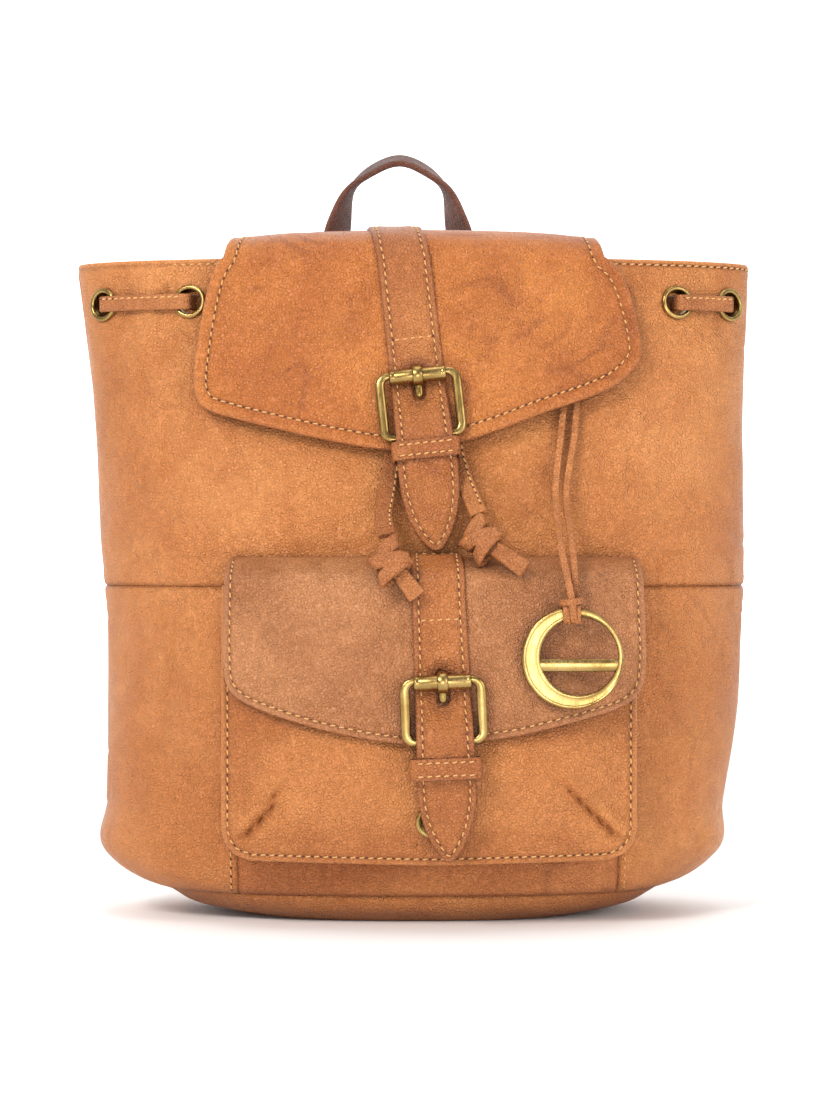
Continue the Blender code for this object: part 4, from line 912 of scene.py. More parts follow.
def make_materials():
    leather("body_leather", srgb(214, 142, 82), srgb(202, 128, 66), srgb(176, 100, 44), vein=0.34,
            rough=0.45)
    # The same leather as body_leather, made a little darker for the panel behind the pocket: painted shade.
    leather("under_leather", srgb(206, 134, 76), srgb(192, 116, 60), srgb(160, 88, 40), vein=0.5,
            rough=0.46, seed=0.9)
    leather("flap_leather", srgb(208, 130, 62), srgb(194, 114, 48), srgb(162, 84, 30), vein=0.6, rough=0.38,
            seed=2.3, edge_tone=srgb(200, 128, 80))
    # Paler and greyer than the main flap: partly its own tone, partly painted sheen.
    leather("pocket_flap_leather", srgb(196, 134, 86), srgb(182, 118, 70), srgb(150, 88, 46), vein=0.45,
            rough=0.36, seed=4.1, edge_tone=srgb(190, 124, 86))
    leather("pocket_leather", srgb(206, 134, 74), srgb(192, 118, 58), srgb(160, 88, 38), vein=0.5,
            rough=0.44, seed=5.7)
    leather("strap_leather", srgb(202, 130, 70), srgb(188, 114, 56), srgb(152, 82, 36), vein=0.4,
            rough=0.38, seed=7.7, edge_tone=srgb(146, 90, 64))
    leather("cord_leather", srgb(206, 134, 78), srgb(190, 118, 62), srgb(148, 82, 40), vein=0.3,
            rough=0.46, seed=9.1)
    # Darker and redder than the other leathers: partly the handle's own tone, partly painted shade for the
    # back of the strap, which gets less light.
    leather("handle_leather", srgb(118, 66, 46), srgb(100, 52, 34), srgb(72, 34, 22), vein=0.3, rough=0.6,
            seed=1.7, edge_tone=srgb(122, 72, 50), sheen=0.1)
    brass("antique_brass")
    fabric("lining_fabric", srgb(118, 88, 62), srgb(70, 50, 36))
    g = Graph("thread")
    twist = g.noise(1600.0, 2.0, 0.6, 0.5)
    g.finish(g.mix(twist, srgb(196, 140, 78), srgb(222, 172, 110)), 0.62, g.bump(twist, 0.4, 0.0002),
            sheen=0.1)
    # Needle holes: a dark colour painted for the shade inside them.
    g = Graph("needle_hole")
    g.finish(g.mix(g.noise(500.0), srgb(62, 32, 18), srgb(92, 50, 28)), 0.8)
    g = Graph("board")
    g.finish(g.mix(g.noise(220.0, 6.0, 0.7), srgb(120, 104, 82), srgb(150, 132, 104)), 0.9,
             g.bump(g.noise(600.0), 0.3, 0.0004))
    g = Graph("backdrop")
    g.shader.inputs["Emission Color"].default_value = (1, 1, 1, 1)
    g.shader.inputs["Emission Strength"].default_value = 1.0
    g.finish((0.8, 0.8, 0.8), 1.0, specular=0.0)
    g = Graph("floor")
    g.finish(g.mix(g.noise(3.0, 3.0), srgb(250, 250, 249), srgb(254, 254, 254)), 0.7, specular=0.2)


# ---- camera, light and floor --------------------------------------------------------------------
def make_camera():
    data = bpy.data.cameras.new("camera")
    data.sensor_fit = "VERTICAL"
    data.sensor_height = 36.0
    data.lens = 100.6
    camera = linked("camera", data)
    camera.location = (0.0005, -1.6, 0.185)
    camera.rotation_euler = (math.radians(90), 0, 0)
    bpy.context.scene.camera = camera


def area_light(name, at, target, size, power, colour=(1, 1, 1)):
    data = bpy.data.lights.new(name, "AREA")
    data.shape = "DISK"
    data.size, data.energy, data.color = size, power, colour
    light = linked(name, data)
    light.location = at
    light.rotation_euler = (Vector(target) - Vector(at)).to_track_quat("-Z", "Y").to_euler()


def make_stage():
    scene = bpy.context.scene
    scene.view_settings.view_transform = "Standard"
    scene.view_settings.look = "None"
    world = bpy.data.worlds.new("studio")
    world.use_nodes = True
    background = world.node_tree.nodes["Background"]
    background.inputs["Color"].default_value = (1.0, 1.0, 1.0, 1.0)
    background.inputs["Strength"].default_value = 0.47
    scene.world = world
    area_light("key", (-0.9, -1.5, 1.3), (0, 0, 0.2), 0.7, 25.0, (1.0, 0.985, 0.96))
    area_light("fill", (1.3, -1.3, 0.7), (0, 0, 0.18), 1.0, 9.0)
    area_light("top", (0.0, -0.1, 1.7), (0, 0, 0.18), 1.0, 6.0)
    area_light("low", (0.1, -1.5, 0.1), (0, 0, 0.06), 0.6, 7.0)
    reach, back = 12.0, 2.4
    floor = quad("floor", [(-reach, -reach, 0), (reach, -reach, 0), (reach, back, 0), (-reach, back, 0)],
            "floor")
    floor.location = (0, 0, -0.0004)
    backdrop = quad("backdrop",
            [(-reach, back, -1), (reach, back, -1), (reach, back, reach), (-reach, back, reach)],
            "backdrop")


def quad(name, corners, look):
    mesh = bpy.data.meshes.new(name)
    mesh.from_pydata(corners, [], [(0, 1, 2, 3)])
    mesh.materials.append(MATERIALS[look])
    return linked(name, mesh)


# ---- cords: the drawstring's tails and the tag's lace -------------------------------------------
TAILS = {
    "left": ((-0.064, 0.303, 0.0036), (-0.04, 0.284, 0.0036), (-0.02, 0.26, 0.0036),
             (-0.011, 0.238, 0.004), (-0.0125, 0.218, 0.007), (-0.015, 0.203, 0.017),
             (-0.013, 0.1925, 0.029)),
    "right": ((0.084, 0.303, 0.0036), (0.06, 0.286, 0.0036), (0.035, 0.264, 0.0036),
              (0.0215, 0.242, 0.004), (0.023, 0.226, 0.006), (0.028, 0.212, 0.012),
              (0.032, 0.203, 0.019)),
}
KNOTS = {
    "left": ((-0.0115, 0.18, 0.035), (0.0015, 0.163, 0.035)),
    "right": ((0.033, 0.1905, 0.02), (0.054, 0.176, 0.032)),
}


def eyelet_angle(key):
    x, side = EYELETS[key]
    t = float(front_angle(np.float64(x), np.float64(EYELET_Z)))
    return t if side == "front" else -t


def at_body(t, z, off=0.0):
    return body_points(np.array([t]), np.array([z]), off)[0]


def wall_direction(t, z):
    return unit(at_body(t, z, 0.01) - at_body(t, z))


def wall_normal(t, z):
    across = at_body(t + 0.01, z) - at_body(t - 0.01, z)
    up = at_body(t, z + 0.004) - at_body(t, z - 0.004)
    return unit(np.cross(across, up))


def tail_point(x, z, off):
    return np.array([x, float(front_y(np.float64(x), np.float64(z))) - off, z])


def strip(half_width, half_thick):
    return section("strip", half_width, half_thick)


def make_tail(side, key):
    """One end of the drawstring, from its eyelet down to its knot."""
    t = eyelet_angle(key)
    centre, normal = at_body(t, EYELET_Z), wall_direction(t, EYELET_Z)
    route = [centre + normal * 0.0018, centre + normal * 0.003] + [tail_point(*p) for p in TAILS[side]]
    path = even(smooth(route, 160), 0.0018)
    wide = np.cross(np.gradient(path, axis=0), (0, 1.0, 0))
    wide[:6] = wide[6]
    verts, faces = swept(path, wide, strip(0.0043, 0.0012))
    tail = add("drawstring_tail_" + side, verts, faces, "cord_leather")
    _, w, t = frames_along(path, wide)
    face = np.where((t @ np.array([0, -1.0, 0]))[:, None] > 0, t, -t)
    stitches("tail_stitches_" + side, (path + w * 0.0029 + face * 0.0012)[12:-3], face[12:-3], pitch=0.0036)
    knot, end = make_knot(side, path[-1])


def make_knot(side, above):
    """The overhand knot: three turns of the strip wrapped over each other, and the short cut end below it."""
    centre, end = (tail_point(*p) for p in KNOTS[side])
    down = unit(end - above)
    across = unit(np.cross(down, (0, -1.0, 0)))
    out = unit(np.cross(across, down))
    coils = []
    for k, (shift, tilt,
            radius) in enumerate(((-0.0052, 0.45, 0.006), (0.0, -0.35, 0.0072), (0.005, 0.3, 0.007))):
        a = np.linspace(0, 2 * np.pi, 33)[:-1]
        ring = (np.cos(a)[:, None] * across * radius * 1.15 + np.sin(a)[:, None] * out * radius * 0.62
                + (down * shift) + down * (np.cos(a) * math.sin(tilt) * radius)[:, None])
        lengthwise = unit(down + across * 0.3 * (-1) ** k)
        coils.append(swept(centre + ring, lengthwise, strip(0.0036, 0.0013), closed=True))
    core = [centre + down * s for s in np.linspace(-0.0085, 0.008, 7)]
    coils.append(swept(core, across, section("oval", 0.0062, 0.004, 16),
            scale=[0.4, 0.8, 1, 1.05, 1.05, 0.9, 0.4]))
    verts, faces = joined(*coils)
    knot = add("drawstring_knot_" + side, verts, faces, "cord_leather")
    path = smooth([centre, centre + (end - centre) * 0.5 + out * 0.0006, end], 12)
    flare = np.linspace(0.85, 1.15, 12)
    verts, faces = swept(path, across * 0.9 + down * 0.1, strip(0.004, 0.0012), scale=flare)
    stub = add("drawstring_end_" + side, verts, faces, "cord_leather", new=True)
    return knot, stub


def lace_path():
    rx, ry, rz = RING_CENTRE
    top = rz + RING_HOLE_SHIFT[1] + RING_HOLE_R - 0.0006
    rim = 0.0058
    in_front, behind = ry - RING_HALF_THICK - 0.0022, ry + RING_HALF_THICK + 0.0022
    x = rx + 0.0005
    tail = tail_point(LACE_TOP[0], LACE_TOP[1], 0.0)[1]
    start = (LACE_TOP[0] - 0.003, tail - 0.003, 0.29)
    finish = (LACE_TOP[0] + 0.003, tail - 0.003, 0.29)
    over = [(-0.003, 0.268, 0.003), (-0.005, 0.245, 0.0045), (-0.0085, 0.215, 0.01)]
    down = [start] + [tuple(tail_point(LACE_TOP[0] + dx, z, off)) for dx, z, off in over]
    down += [(x - 0.006, -0.0985, 0.19), (x - 0.0035, -0.1075, 0.175),
            (x - 0.001, in_front, top + rim + 0.004), (x, in_front, top + 0.001), (x, ry, top - 0.0014),
            (x, behind, top + 0.001)]
    up = [(x + 0.0008, behind, top + rim + 0.004), (x + 0.0006, -0.1045, 0.177),
          (x - 0.0006, -0.094, 0.192)]
    up += [tuple(tail_point(LACE_TOP[0] + dx, z, off)) for dx, z, off in
           ((-0.003, 0.215, 0.0085), (0.0018, 0.245, 0.004), (0.003, 0.268, 0.003))]
    return down + up + [finish]


def make_tag():
    """The doubled lace and the brass ring on it, its plain bar across."""
    path = even(smooth(lace_path(), 500), 0.0012)
    verts, faces = swept(path, (1, 0, 0), strip(0.0017, 0.0007))
    lace = add("tag_lace", verts, faces, "cord_leather", body="hang_tag_body")
    rx, ry, rz = RING_CENTRE
    a = np.linspace(0, 2 * np.pi, 129)[:-1]
    circle = np.column_stack([np.cos(a), 0 * a, np.sin(a)])
    outer = np.array([rx, ry, rz])
    inner = outer + (RING_HOLE_SHIFT[0], 0, RING_HOLE_SHIFT[1])
    loops = []
    for share, lift in ((0.0, 0.35), (0.06, 0.8), (0.14, 1.0), (0.22, 0.86), (0.3, 0.8), (0.7, 0.8),
            (0.78, 0.86), (0.88, 1.0), (0.95, 0.8), (1.0, 0.35)):
        line = (outer + circle * RING_R) * (1 - share) + (inner + circle * RING_HOLE_R) * share
        loops.append(line - (0, RING_HALF_THICK * lift, 0))
    loops += [line * (1, 0, 1) + (0, 2 * ry, 0) - line * (0, 1, 0) for line in reversed(loops)]
    ring = skin(loops, closed=True)
    bar_z = rz - 0.0034
    bar = swept([(x, ry, bar_z) for x in np.linspace(rx - 0.0172, rx + 0.0232, 12)], (0, 0, 1),
                section("oval", 0.003, 0.0011, 20))
    verts, faces = joined(ring, bar)
    tag = add("tag_ring", verts, faces, "antique_brass", body="tag_ring_body")
    knot_z = rz + RING_R + 0.0026
    turn = np.linspace(0, 2 * np.pi, 33)[:-1]
    loop = np.column_stack([rx - 0.0002 + np.cos(turn) * 0.0052, ry + np.sin(turn) * 0.0044,
            knot_z + 0.0006 * np.cos(turn)])
    wraps = [swept(loop, (0, 0, 1), strip(0.0017, 0.0009), closed=True)]
    for shift in (-0.0024, 0.0026):
        rim = np.column_stack([np.full_like(turn, rx + shift) + 0.0004 * np.cos(turn),
                ry + np.cos(turn) * 0.003, rz + 0.0222 + np.sin(turn) * 0.005])
        wraps.append(swept(rim, (1, 0, 0), strip(0.0019, 0.0007), closed=True))
    verts, faces = joined(*wraps)
    wrap = add("tag_lace_wrap", verts, faces, "cord_leather", body="hang_tag_body", new=True)


# ---- the body -----------------------------------------------------------------------------------
NEAR_EDGE = np.array([0.0004, 0.0009, 0.0015, 0.0022, 0.003, 0.0041])


def edge_steps(total, spacing):
    """Distances along a side, close together at both ends."""
    middle = np.linspace(NEAR_EDGE[-1], total - NEAR_EDGE[-1], max(2, int(total / spacing)))
    return np.concatenate([[0.0], NEAR_EDGE[:-1], middle, total - NEAR_EDGE[:-1][::-1], [total]])


def body_relief(points, seams):
    """How far the leather stands off the plain form: slack, folds, puckers and the dip along each seam."""
    x, y, z = points.T
    slack = 0.0011 * noise(points, (0.07, 0.09, 0.085), 3) + 0.00035 * noise(points, (0.024, 0.03, 0.026),
            9)
    side = ramp(np.abs(x), 0.1, 0.15)
    low = ramp(z, 0.14, 0.05)
    slack = slack + side * low * 0.002 * noise(points + (0.3 * z)[:, None] * np.array([1, 0, 0]),
            (0.03, 0.05, 0.075), 21)
    crease = np.abs(noise(points, (0.05, 0.06, 0.034), 33))
    slack = slack - 0.0007 * bump(crease, 0.055) * ramp(noise(points, 0.06, 41), -0.1, 0.5)
    gather = ramp(z, 0.262, 0.302) * ramp(z, RIM_Z + 0.004, RIM_Z - 0.01)
    angle = np.arctan2(y * 2.2, x)
    folds = noise(np.column_stack([angle * 0.1, 0 * z, z * 0.25]), (0.011, 1, 0.05), 51)
    slack = slack + gather * 0.001 * folds
    calm = np.ones(len(x))
    for key in EYELETS:
        centre = at_body(eyelet_angle(key), EYELET_Z)
        away = np.linalg.norm(points - centre, axis=1)
        calm = np.minimum(calm, ramp(away, EYELET_FLANGE, EYELET_FLANGE + 0.012))
        slack = slack - 0.0006 * bump(away - 0.0135, 0.0035)
    slack = slack * calm
    for distance in seams:
        pucker = 0.00014 * np.sin(2 * np.pi * (points @ np.array([1, 0.8,
                1])) / 0.0061) * np.exp(-distance / 0.006)
        slack = slack - 0.0009 * np.exp(-((distance / 0.0009) ** 2)) + 0.0003 * bump(distance - 0.004,
                0.0026) + pucker
    return slack


def body_panel(start, end, z0, z1, seams, off=0.0, thick=LEATHER, spacing=0.0022):
    """A panel between two sides, each a plan angle for every height. SEAMS names its sewn sides."""
    middle = np.array([0.5 * (z0 + z1)])
    t0, t1 = start(middle)[0], end(middle)[0]
    fine = np.linspace(0, 1, 1600)
    line = body_points(t0 + (t1 - t0) * fine, np.full_like(fine, middle[0]))
    run = np.concatenate([[0], np.cumsum(np.linalg.norm(np.diff(line, axis=0), axis=1))])
    where = edge_steps(run[-1], spacing)
    z = z0 + edge_steps(z1 - z0, spacing)
    share, zz = np.meshgrid(np.interp(where, run, fine), z)
    tt = start(z)[:, None] + (end(z) - start(z))[:, None] * share
    across, _ = np.meshgrid(where, z)
    sides = {"left": across, "right": run[-1] - across, "bottom": zz - z0, "top": z1 - zz}
    flat = body_points(tt.ravel(), zz.ravel(), off)
    found = [sides[s].ravel() for s in seams]
    lift = body_relief(flat, found)
    hem = sides["top"].ravel() if "top" not in seams and z1 > RIM_Z - 0.01 else None
    seam_mark = np.zeros(len(flat))
    if hem is not None:
        lift = lift - 0.0003 * bump(hem - 0.0026, 0.0009) + 0.0002 * bump(hem - 0.0055, 0.002)
        lift = lift - 0.0007 * bump(hem, 0.0007)
        seam_mark = np.maximum(seam_mark, bump(hem - 0.0026, 0.0012))
    for d in found:
        seam_mark = np.maximum(seam_mark, 1.2 * np.exp(-d / 0.001))
    rows, columns = tt.shape
    outer = body_points(tt.ravel(), zz.ravel(), off)
    normal = unit(body_points(tt.ravel(), zz.ravel(), off + 0.001) - outer)
    outer = outer + normal * lift[:, None]
    inner = body_points(tt.ravel(), zz.ravel(), off - thick)
    n = rows * columns
    faces = grid_faces(rows, columns) + [tuple(reversed(f)) for f in grid_faces(rows, columns, n)]
    index = np.arange(n).reshape(rows, columns)
    rim = np.concatenate([index[0], index[1:, -1], index[-1, -2::-1], index[-2:0:-1, 0]])
    faces += [(rim[(i + 1) % len(rim)], rim[i], rim[i] + n,
            rim[(i + 1) % len(rim)] + n) for i in range(len(rim))]
    verts = np.vstack([outer, inner])
    edge = np.exp(-hem / 0.0012) if hem is not None else 0 * lift
    # fold is the relief height; the leather paints shade in its dips and highlight on its rises from it.
    marks = {"seam": np.tile(seam_mark, 2), "edge": np.tile(edge, 2), "fold": np.tile(lift / 0.0012, 2)}
    return verts, turned_out(verts, faces), marks


def without_eyelets(verts, faces, keys):
    """The faces, those under the eyelets taken out."""
    centres = np.array([verts[list(f)].mean(0) for f in faces])
    keep = np.ones(len(faces), bool)
    for key in keys:
        t = eyelet_angle(key)
        centre, axis = at_body(t, EYELET_Z), wall_normal(t, EYELET_Z)
        rel = centres - centre
        radial = np.linalg.norm(rel - (rel @ axis)[:, None] * axis, axis=1)
        keep &= ~((radial < EYELET_HOLE + 0.001) & (np.abs(rel @ axis) < 0.012))
    return [f for f, k in zip(faces, keep) if k]


def make_body():
    def side(degrees, shift):
        return lambda z: math.radians(degrees) + shift + 0 * z

    def upright(x, shift):
        return lambda z: front_angle(np.full_like(z, x), z) + shift

    turn, gap = 2 * math.pi, 0.0008
    waist = WAIST_SEAM_Z - 0.0002
    left, right = FRONT_SEAMS
    low_seams = ("left", "right", "bottom", "top")
    plans = [("lower_front_panel", upright(left, gap), upright(right, -gap), FLOOR_SEAM_Z, waist,
            low_seams, ()), ("lower_left_panel", side(160, gap - turn), upright(left, -gap), FLOOR_SEAM_Z,
            waist, low_seams, ()), ("lower_right_panel", upright(right, gap), side(20, -gap),
            FLOOR_SEAM_Z, waist, low_seams, ()), ("upper_front_panel", side(160, gap - turn),
            side(20, -gap), WAIST_SEAM_Z, RIM_Z, low_seams[:3], "123456"), ("back_panel", side(20, gap),
            side(160, -gap), FLOOR_SEAM_Z, RIM_Z, low_seams[:3], ("7", "8", "9", "10")), ]
    for name, start, end, z0, z1, seams, keys in plans:
        verts, faces, marks = body_panel(start, end, z0, z1, seams)
        # The panel behind the pocket takes the darker copy of the body leather: painted shade.
        look = "under_leather" if name == "lower_front_panel" else "body_leather"
        faces = without_eyelets(verts, faces, keys)
        add(name, verts, faces, look, slot="body_leather", marks=marks)
    for name, x, way in (("left", left, -1), ("right", right, 1)):
        z = np.linspace(FLOOR_SEAM_Z + 0.002, 0.06, 60)
        t = front_angle(np.full_like(z, x + way * 0.003), z)
        points = body_points(t, z, 0.0001)
        stitches("front_seam_stitches_" + name, points, unit(body_points(t, z, 0.001) - body_points(t, z)))
    make_floor_panel()
    make_rim()
    make_linings()
    for key in EYELETS:
        make_eyelet(key)
    make_drawstring()


def make_floor_panel():
    """The bottom panel, its edge turned up to the seam."""
    t = np.linspace(0, 2 * np.pi, 181)[:-1]
    heights = np.concatenate([np.linspace(0, 0.0105, 14), FLOOR_SEAM_Z - 0.0002 - NEAR_EDGE[::-1] * 0.6,
                              [FLOOR_SEAM_Z - 0.0002]])
    heights = np.unique(np.round(heights, 6))
    loops, under = [], []
    for z in heights:
        ring = body_points(t, np.full_like(t, z))
        lift = 0.0007 * noise(ring, 0.03, 61) * ramp(z, 0.002, 0.006) - 0.0016 * bump(FLOOR_SEAM_Z - z,
                0.0015)
        loops.append(body_points(t, np.full_like(t, z), lift))
        under.append(body_points(t, np.full_like(t, z), lift - LEATHER) + (0, 0, max(0.0, LEATHER - z)))
    centre = loops[0].mean(0)
    flat = [centre + (loops[0] - centre) * f for f in (0.05, 0.25, 0.5, 0.75, 0.93)]
    flat_under = [ring + (0, 0, LEATHER) for ring in flat]
    rings = flat + loops + under[::-1] + flat_under[::-1]
    verts, faces = skin(rings, capped=True)
    distance = FLOOR_SEAM_Z - verts[:, 2]
    add("bottom_panel", verts, faces, "body_leather", marks={"seam": 1.2 * np.exp(-np.maximum(distance,
            0) / 0.001), "edge": 0 * distance, "fold": 0 * distance})


def make_rim():
    """The leather facing inside the rim, and the row of stitches that holds it."""
    t = np.linspace(0, 2 * np.pi, 221)[:-1]
    heights = np.linspace(FACING_FOOT_Z, RIM_Z - 0.0006, 14)
    outer, inner = ([body_points(t, np.full_like(t, z), off) for z in heights] for off in FACING_LEVELS)
    verts, faces = skin(outer + inner[::-1], closed=True)
    faces = without_eyelets(verts, faces, EYELETS)
    add("rim_facing", verts, faces, "body_leather", marks=plain(verts))
    t = np.linspace(0, 2 * np.pi, 1500)
    z = np.full_like(t, RIM_Z - 0.0026)
    stitches("rim_stitches", body_points(t, z, -0.0004), unit(body_points(t, z, 0.001) - body_points(t, z)))


def make_linings():
    """The cloth bag inside, its slip pocket and the stiff board under it."""
    heights = np.concatenate([[0.004, 0.008, 0.016], np.linspace(0.028, 0.283, 40)])
    t = np.linspace(0, 2 * np.pi, 221)[:-1]
    outer = []
    for z in heights:
        ring = body_points(t, np.full_like(t, z), -0.005)
        off = -0.0056 + 0.0006 * noise(ring, (0.025, 0.025, 0.06), 71)
        outer.append(body_points(t, np.full_like(t, z), off) + (0, 0, 0.0056))
    inner = [body_points(t, np.full_like(t, z), -0.007) + (0, 0, 0.0056) for z in heights]
    centre = outer[0].mean(0)
    floor_out = [centre + (outer[0] - centre) * f for f in (0.1, 0.4, 0.7, 0.9)]
    floor_in = [p + (0, 0, 0.001) for p in floor_out]
    verts, faces = skin(floor_out + outer + inner[::-1] + floor_in[::-1])
    add("lining_bag", verts, faces, "lining_fabric")

    def place(x, z, h):
        return np.column_stack([x, back_y(x, z) - 0.0098 - h, z])

    outline = [(-0.072, 0.135), (0.072, 0.135), (0.072, 0.25), (-0.072, 0.25)]
    leather_cut("inner_pocket", outline, place, "lining_fabric", thick=0.001, seam=0.003, spacing=0.005)
    frame_board = bpy.data.objects.get("base_board")
    if frame_board:
        frame_board.data.materials.clear()
        frame_board.data.materials.append(MATERIALS["board"])


def make_eyelet(key):
    """A rolled brass eyelet through the wall."""
    t = eyelet_angle(key)
    r, flange = EYELET_HOLE, EYELET_FLANGE
    a = np.linspace(math.radians(200), math.radians(-20), 13)
    mid, half = (r + flange) / 2, (flange - r) / 2
    lip = [(mid + half * math.cos(x),
            0.0005 + 0.0016 * math.sin(max(0.0, min(x, math.pi))) ** 0.8) for x in a]
    back = [(flange, -0.0053), (flange - 0.0008, -0.0061), (r + 0.0003, -0.0059)]
    profile = lip + [(flange, 0.0003), (r + 0.0008, 0.0003), (r + 0.0008, -0.005)] + back + [(r, -0.005),
            (r, 0.0)]
    verts, faces = turned(profile, at_body(t, EYELET_Z), wall_normal(t, EYELET_Z), 48)
    add("eyelet_" + key, verts, faces, "antique_brass")


def drawstring_path():
    """In and out through the eyelets, from eyelet 3 round the back to eyelet 4."""
    order = ["3", "2", "1", "10", "9", "8", "7", "6", "5", "4"]
    turns = [eyelet_angle(key) for key in order]
    for i in range(1, len(turns)):
        while turns[i] > turns[i - 1]:
            turns[i] -= 2 * math.pi
    out, into, bend = 0.0036, -0.0076, 0.003  # levels off the wall, and the radius of a turn
    quarter = np.radians([0, 22, 45, 68, 90])
    found, outside = [], []
    for i, t in enumerate(turns):
        centre, normal = at_body(t, EYELET_Z), wall_direction(t, EYELET_Z)
        along = np.array([normal[1], -normal[0], 0.0])
        leave, arrive = (into, out) if i % 2 == 0 else (out, into)

        def corner(level, way, run):
            sign = 1 if level > 0 else -1
            return [centre + along * run * (bend - bend * math.cos(a)) + normal * (level - sign * bend
                    * (1 - math.sin(a))) for a in way]

        found += [centre + normal * 0.0008] if i == 0 else corner(arrive, quarter[::-1], -1)
        if i == len(turns) - 1:
            found += [centre + normal * 0.0008]
            break
        found += corner(leave, quarter, 1)
        mids = t + (turns[i + 1] - t) * np.linspace(0.06, 0.94, 14)
        run = body_points(mids, np.full_like(mids, EYELET_Z), leave)
        found += list(run)
        if leave > 0:
            outside.append(mids)
    return np.array(found), outside


def make_drawstring():
    path, outside = drawstring_path()
    verts, faces = swept(path, (0, 0, 1), strip(0.004, 0.0011))
    add("drawstring", verts, faces, "cord_leather")
    for k, mids in enumerate(outside):
        t = np.linspace(mids[0], mids[-1], 60)
        z = np.full_like(t, EYELET_Z + 0.0024)
        stitches(f"drawstring_stitches_{k + 1}", body_points(t, z, 0.0047),
                unit(body_points(t, z, 0.001) - body_points(t, z)), pitch=0.0036)


# ---- the front pocket ---------------------------------------------------------------------------
def rounded_edge(step):
    """The pocket's sewn edge, from the top left down and round to the top right."""
    line = POCKET_EDGE.copy()
    line[0, 1] = line[-1, 1] = POCKET_TOP
    return even(line, step)


PLEATS = (  # the line of each corner's pleat: x, z
    ((-0.0862, 0.0423), (-0.0716, 0.0574), (-0.0657, 0.0676), (-0.0516, 0.073)),
    ((0.1018, 0.0423), (0.0828, 0.0608), (0.0667, 0.0769), (0.0618, 0.0827)),
)


def pocket_shape(flat, ring):
    """The pocket front: filled out in the middle, gathered by pleats at its lower corners."""
    x, z = flat.T
    p = np.column_stack([x, 0 * x, z])
    fill = 0.003 * ramp(ring, 0.004, 0.04) * ramp(z, 0.105, 0.075)
    lift = fill + 0.0006 * noise(p, (0.04, 1, 0.032), 81) * ramp(ring, 0.003, 0.012)
    for line in PLEATS:
        start, end = np.array(line[0]), np.array(line[-1])
        away = edge_distance(flat, smooth(line, 30), closed=False)
        along = np.clip(((flat - start) @ (end - start)) / ((end - start) @ (end - start)), 0, 1)
        fade = ramp(along, -0.05, 0.15) * ramp(along, 1.02, 0.5)
        above = ramp((flat[:, 1] - start[1]) - np.abs(flat[:, 0] - start[0]) * 0.95, -0.003, 0.003)
        lift = lift - 0.0022 * fade * bump(away, 0.0013) - 0.001 * fade * bump(away, 0.0045)
        lift = lift + fade * bump(away - 0.0042, 0.0032) * (0.003 * above + 0.0008 * (1 - above))
    crease = np.abs(z - 0.0445 - 0.0015 * np.sin(x / 0.021) - 0.0006 * np.sin(x / 0.007))
    lift = lift - 0.0006 * bump(crease, 0.001) * ramp(np.abs(x - 0.008), 0.085,
            0.06) * ramp(noise(p, 0.022, 91), -0.4, 0.3)
    fine = np.abs(noise(p, (0.018, 1, 0.012), 95))
    lift = lift - 0.00022 * bump(fine, 0.08) * ramp(noise(p, 0.03, 97), -0.2, 0.5)
    return lift * ramp(ring, 0.0006, 0.004)


def make_pocket():
    edge = rounded_edge(0.0015)
    outline = np.vstack([edge, even([edge[-1], edge[0]], 0.0015)[1:-1]])

    def place(x, z, h):
        z = np.asarray(z, float)
        return np.column_stack([x, front_y(x, z) - (POCKET_DEPTH - LEATHER - 0.0006) - h, z])

    leather_cut("pocket_front", outline, place, "pocket_leather", thick=LEATHER, seam=0.0032, roll=0.0003,
            spacing=0.0022, shape=pocket_shape, new=True)
    flat = shrunk(outline, 0.0032)
    flat = flat[(flat[:, 1] < POCKET_TOP - 0.004)]
    start = int(np.argmax(np.linalg.norm(np.diff(flat, axis=0, append=flat[:1]), axis=1)))
    sewn("pocket_stitches", place, np.roll(flat, -start - 1, axis=0), LEATHER - 0.0002)
    make_gusset(edge)
    bar = [(x, POCKET_TOP - 0.0035) for x in (POCKET_EDGE[0][0] + 0.004, POCKET_EDGE[-1][0] - 0.004)]
    sewn("pocket_hem_stitches", place, bar, LEATHER - 0.0002)


def make_gusset(edge):
    """The strip of leather between the pocket's front and the bag, folded a little inwards."""
    inward = np.gradient(edge, axis=0)
    inward = unit(np.column_stack([-inward[:, 1], inward[:, 0]]))
    rows = []
    for depth, inset in ((0.0006, -0.0015), (0.0012, 0.0006), (0.0045, 0.0014), (0.0095, 0.0024),
            (0.014, 0.0018), (0.0178, 0.0008), (0.0188, 0.0014)):
        p = edge + inward * inset
        wave = 0.0004 * noise(np.column_stack([p[:, 0], np.full(len(p), depth), p[:, 1]]), 0.012, 101)
        p = p + inward * wave[:, None]
        rows.append(np.column_stack([p[:, 0], front_y(p[:, 0], p[:, 1]) - depth, p[:, 1]]))
    back = []
    for row in rows:
        back.append(row + np.column_stack([inward[:, 0], 0 * inward[:, 0], inward[:, 1]]) * 0.0012)
    loops = [np.vstack([[r[i] for r in rows], [b[i] for b in reversed(back)]]) for i in range(len(edge))]
    verts, faces = skin(loops)
    add("pocket_gusset", verts, faces, "pocket_leather", replaces=["pocket_body"], marks=plain(verts))


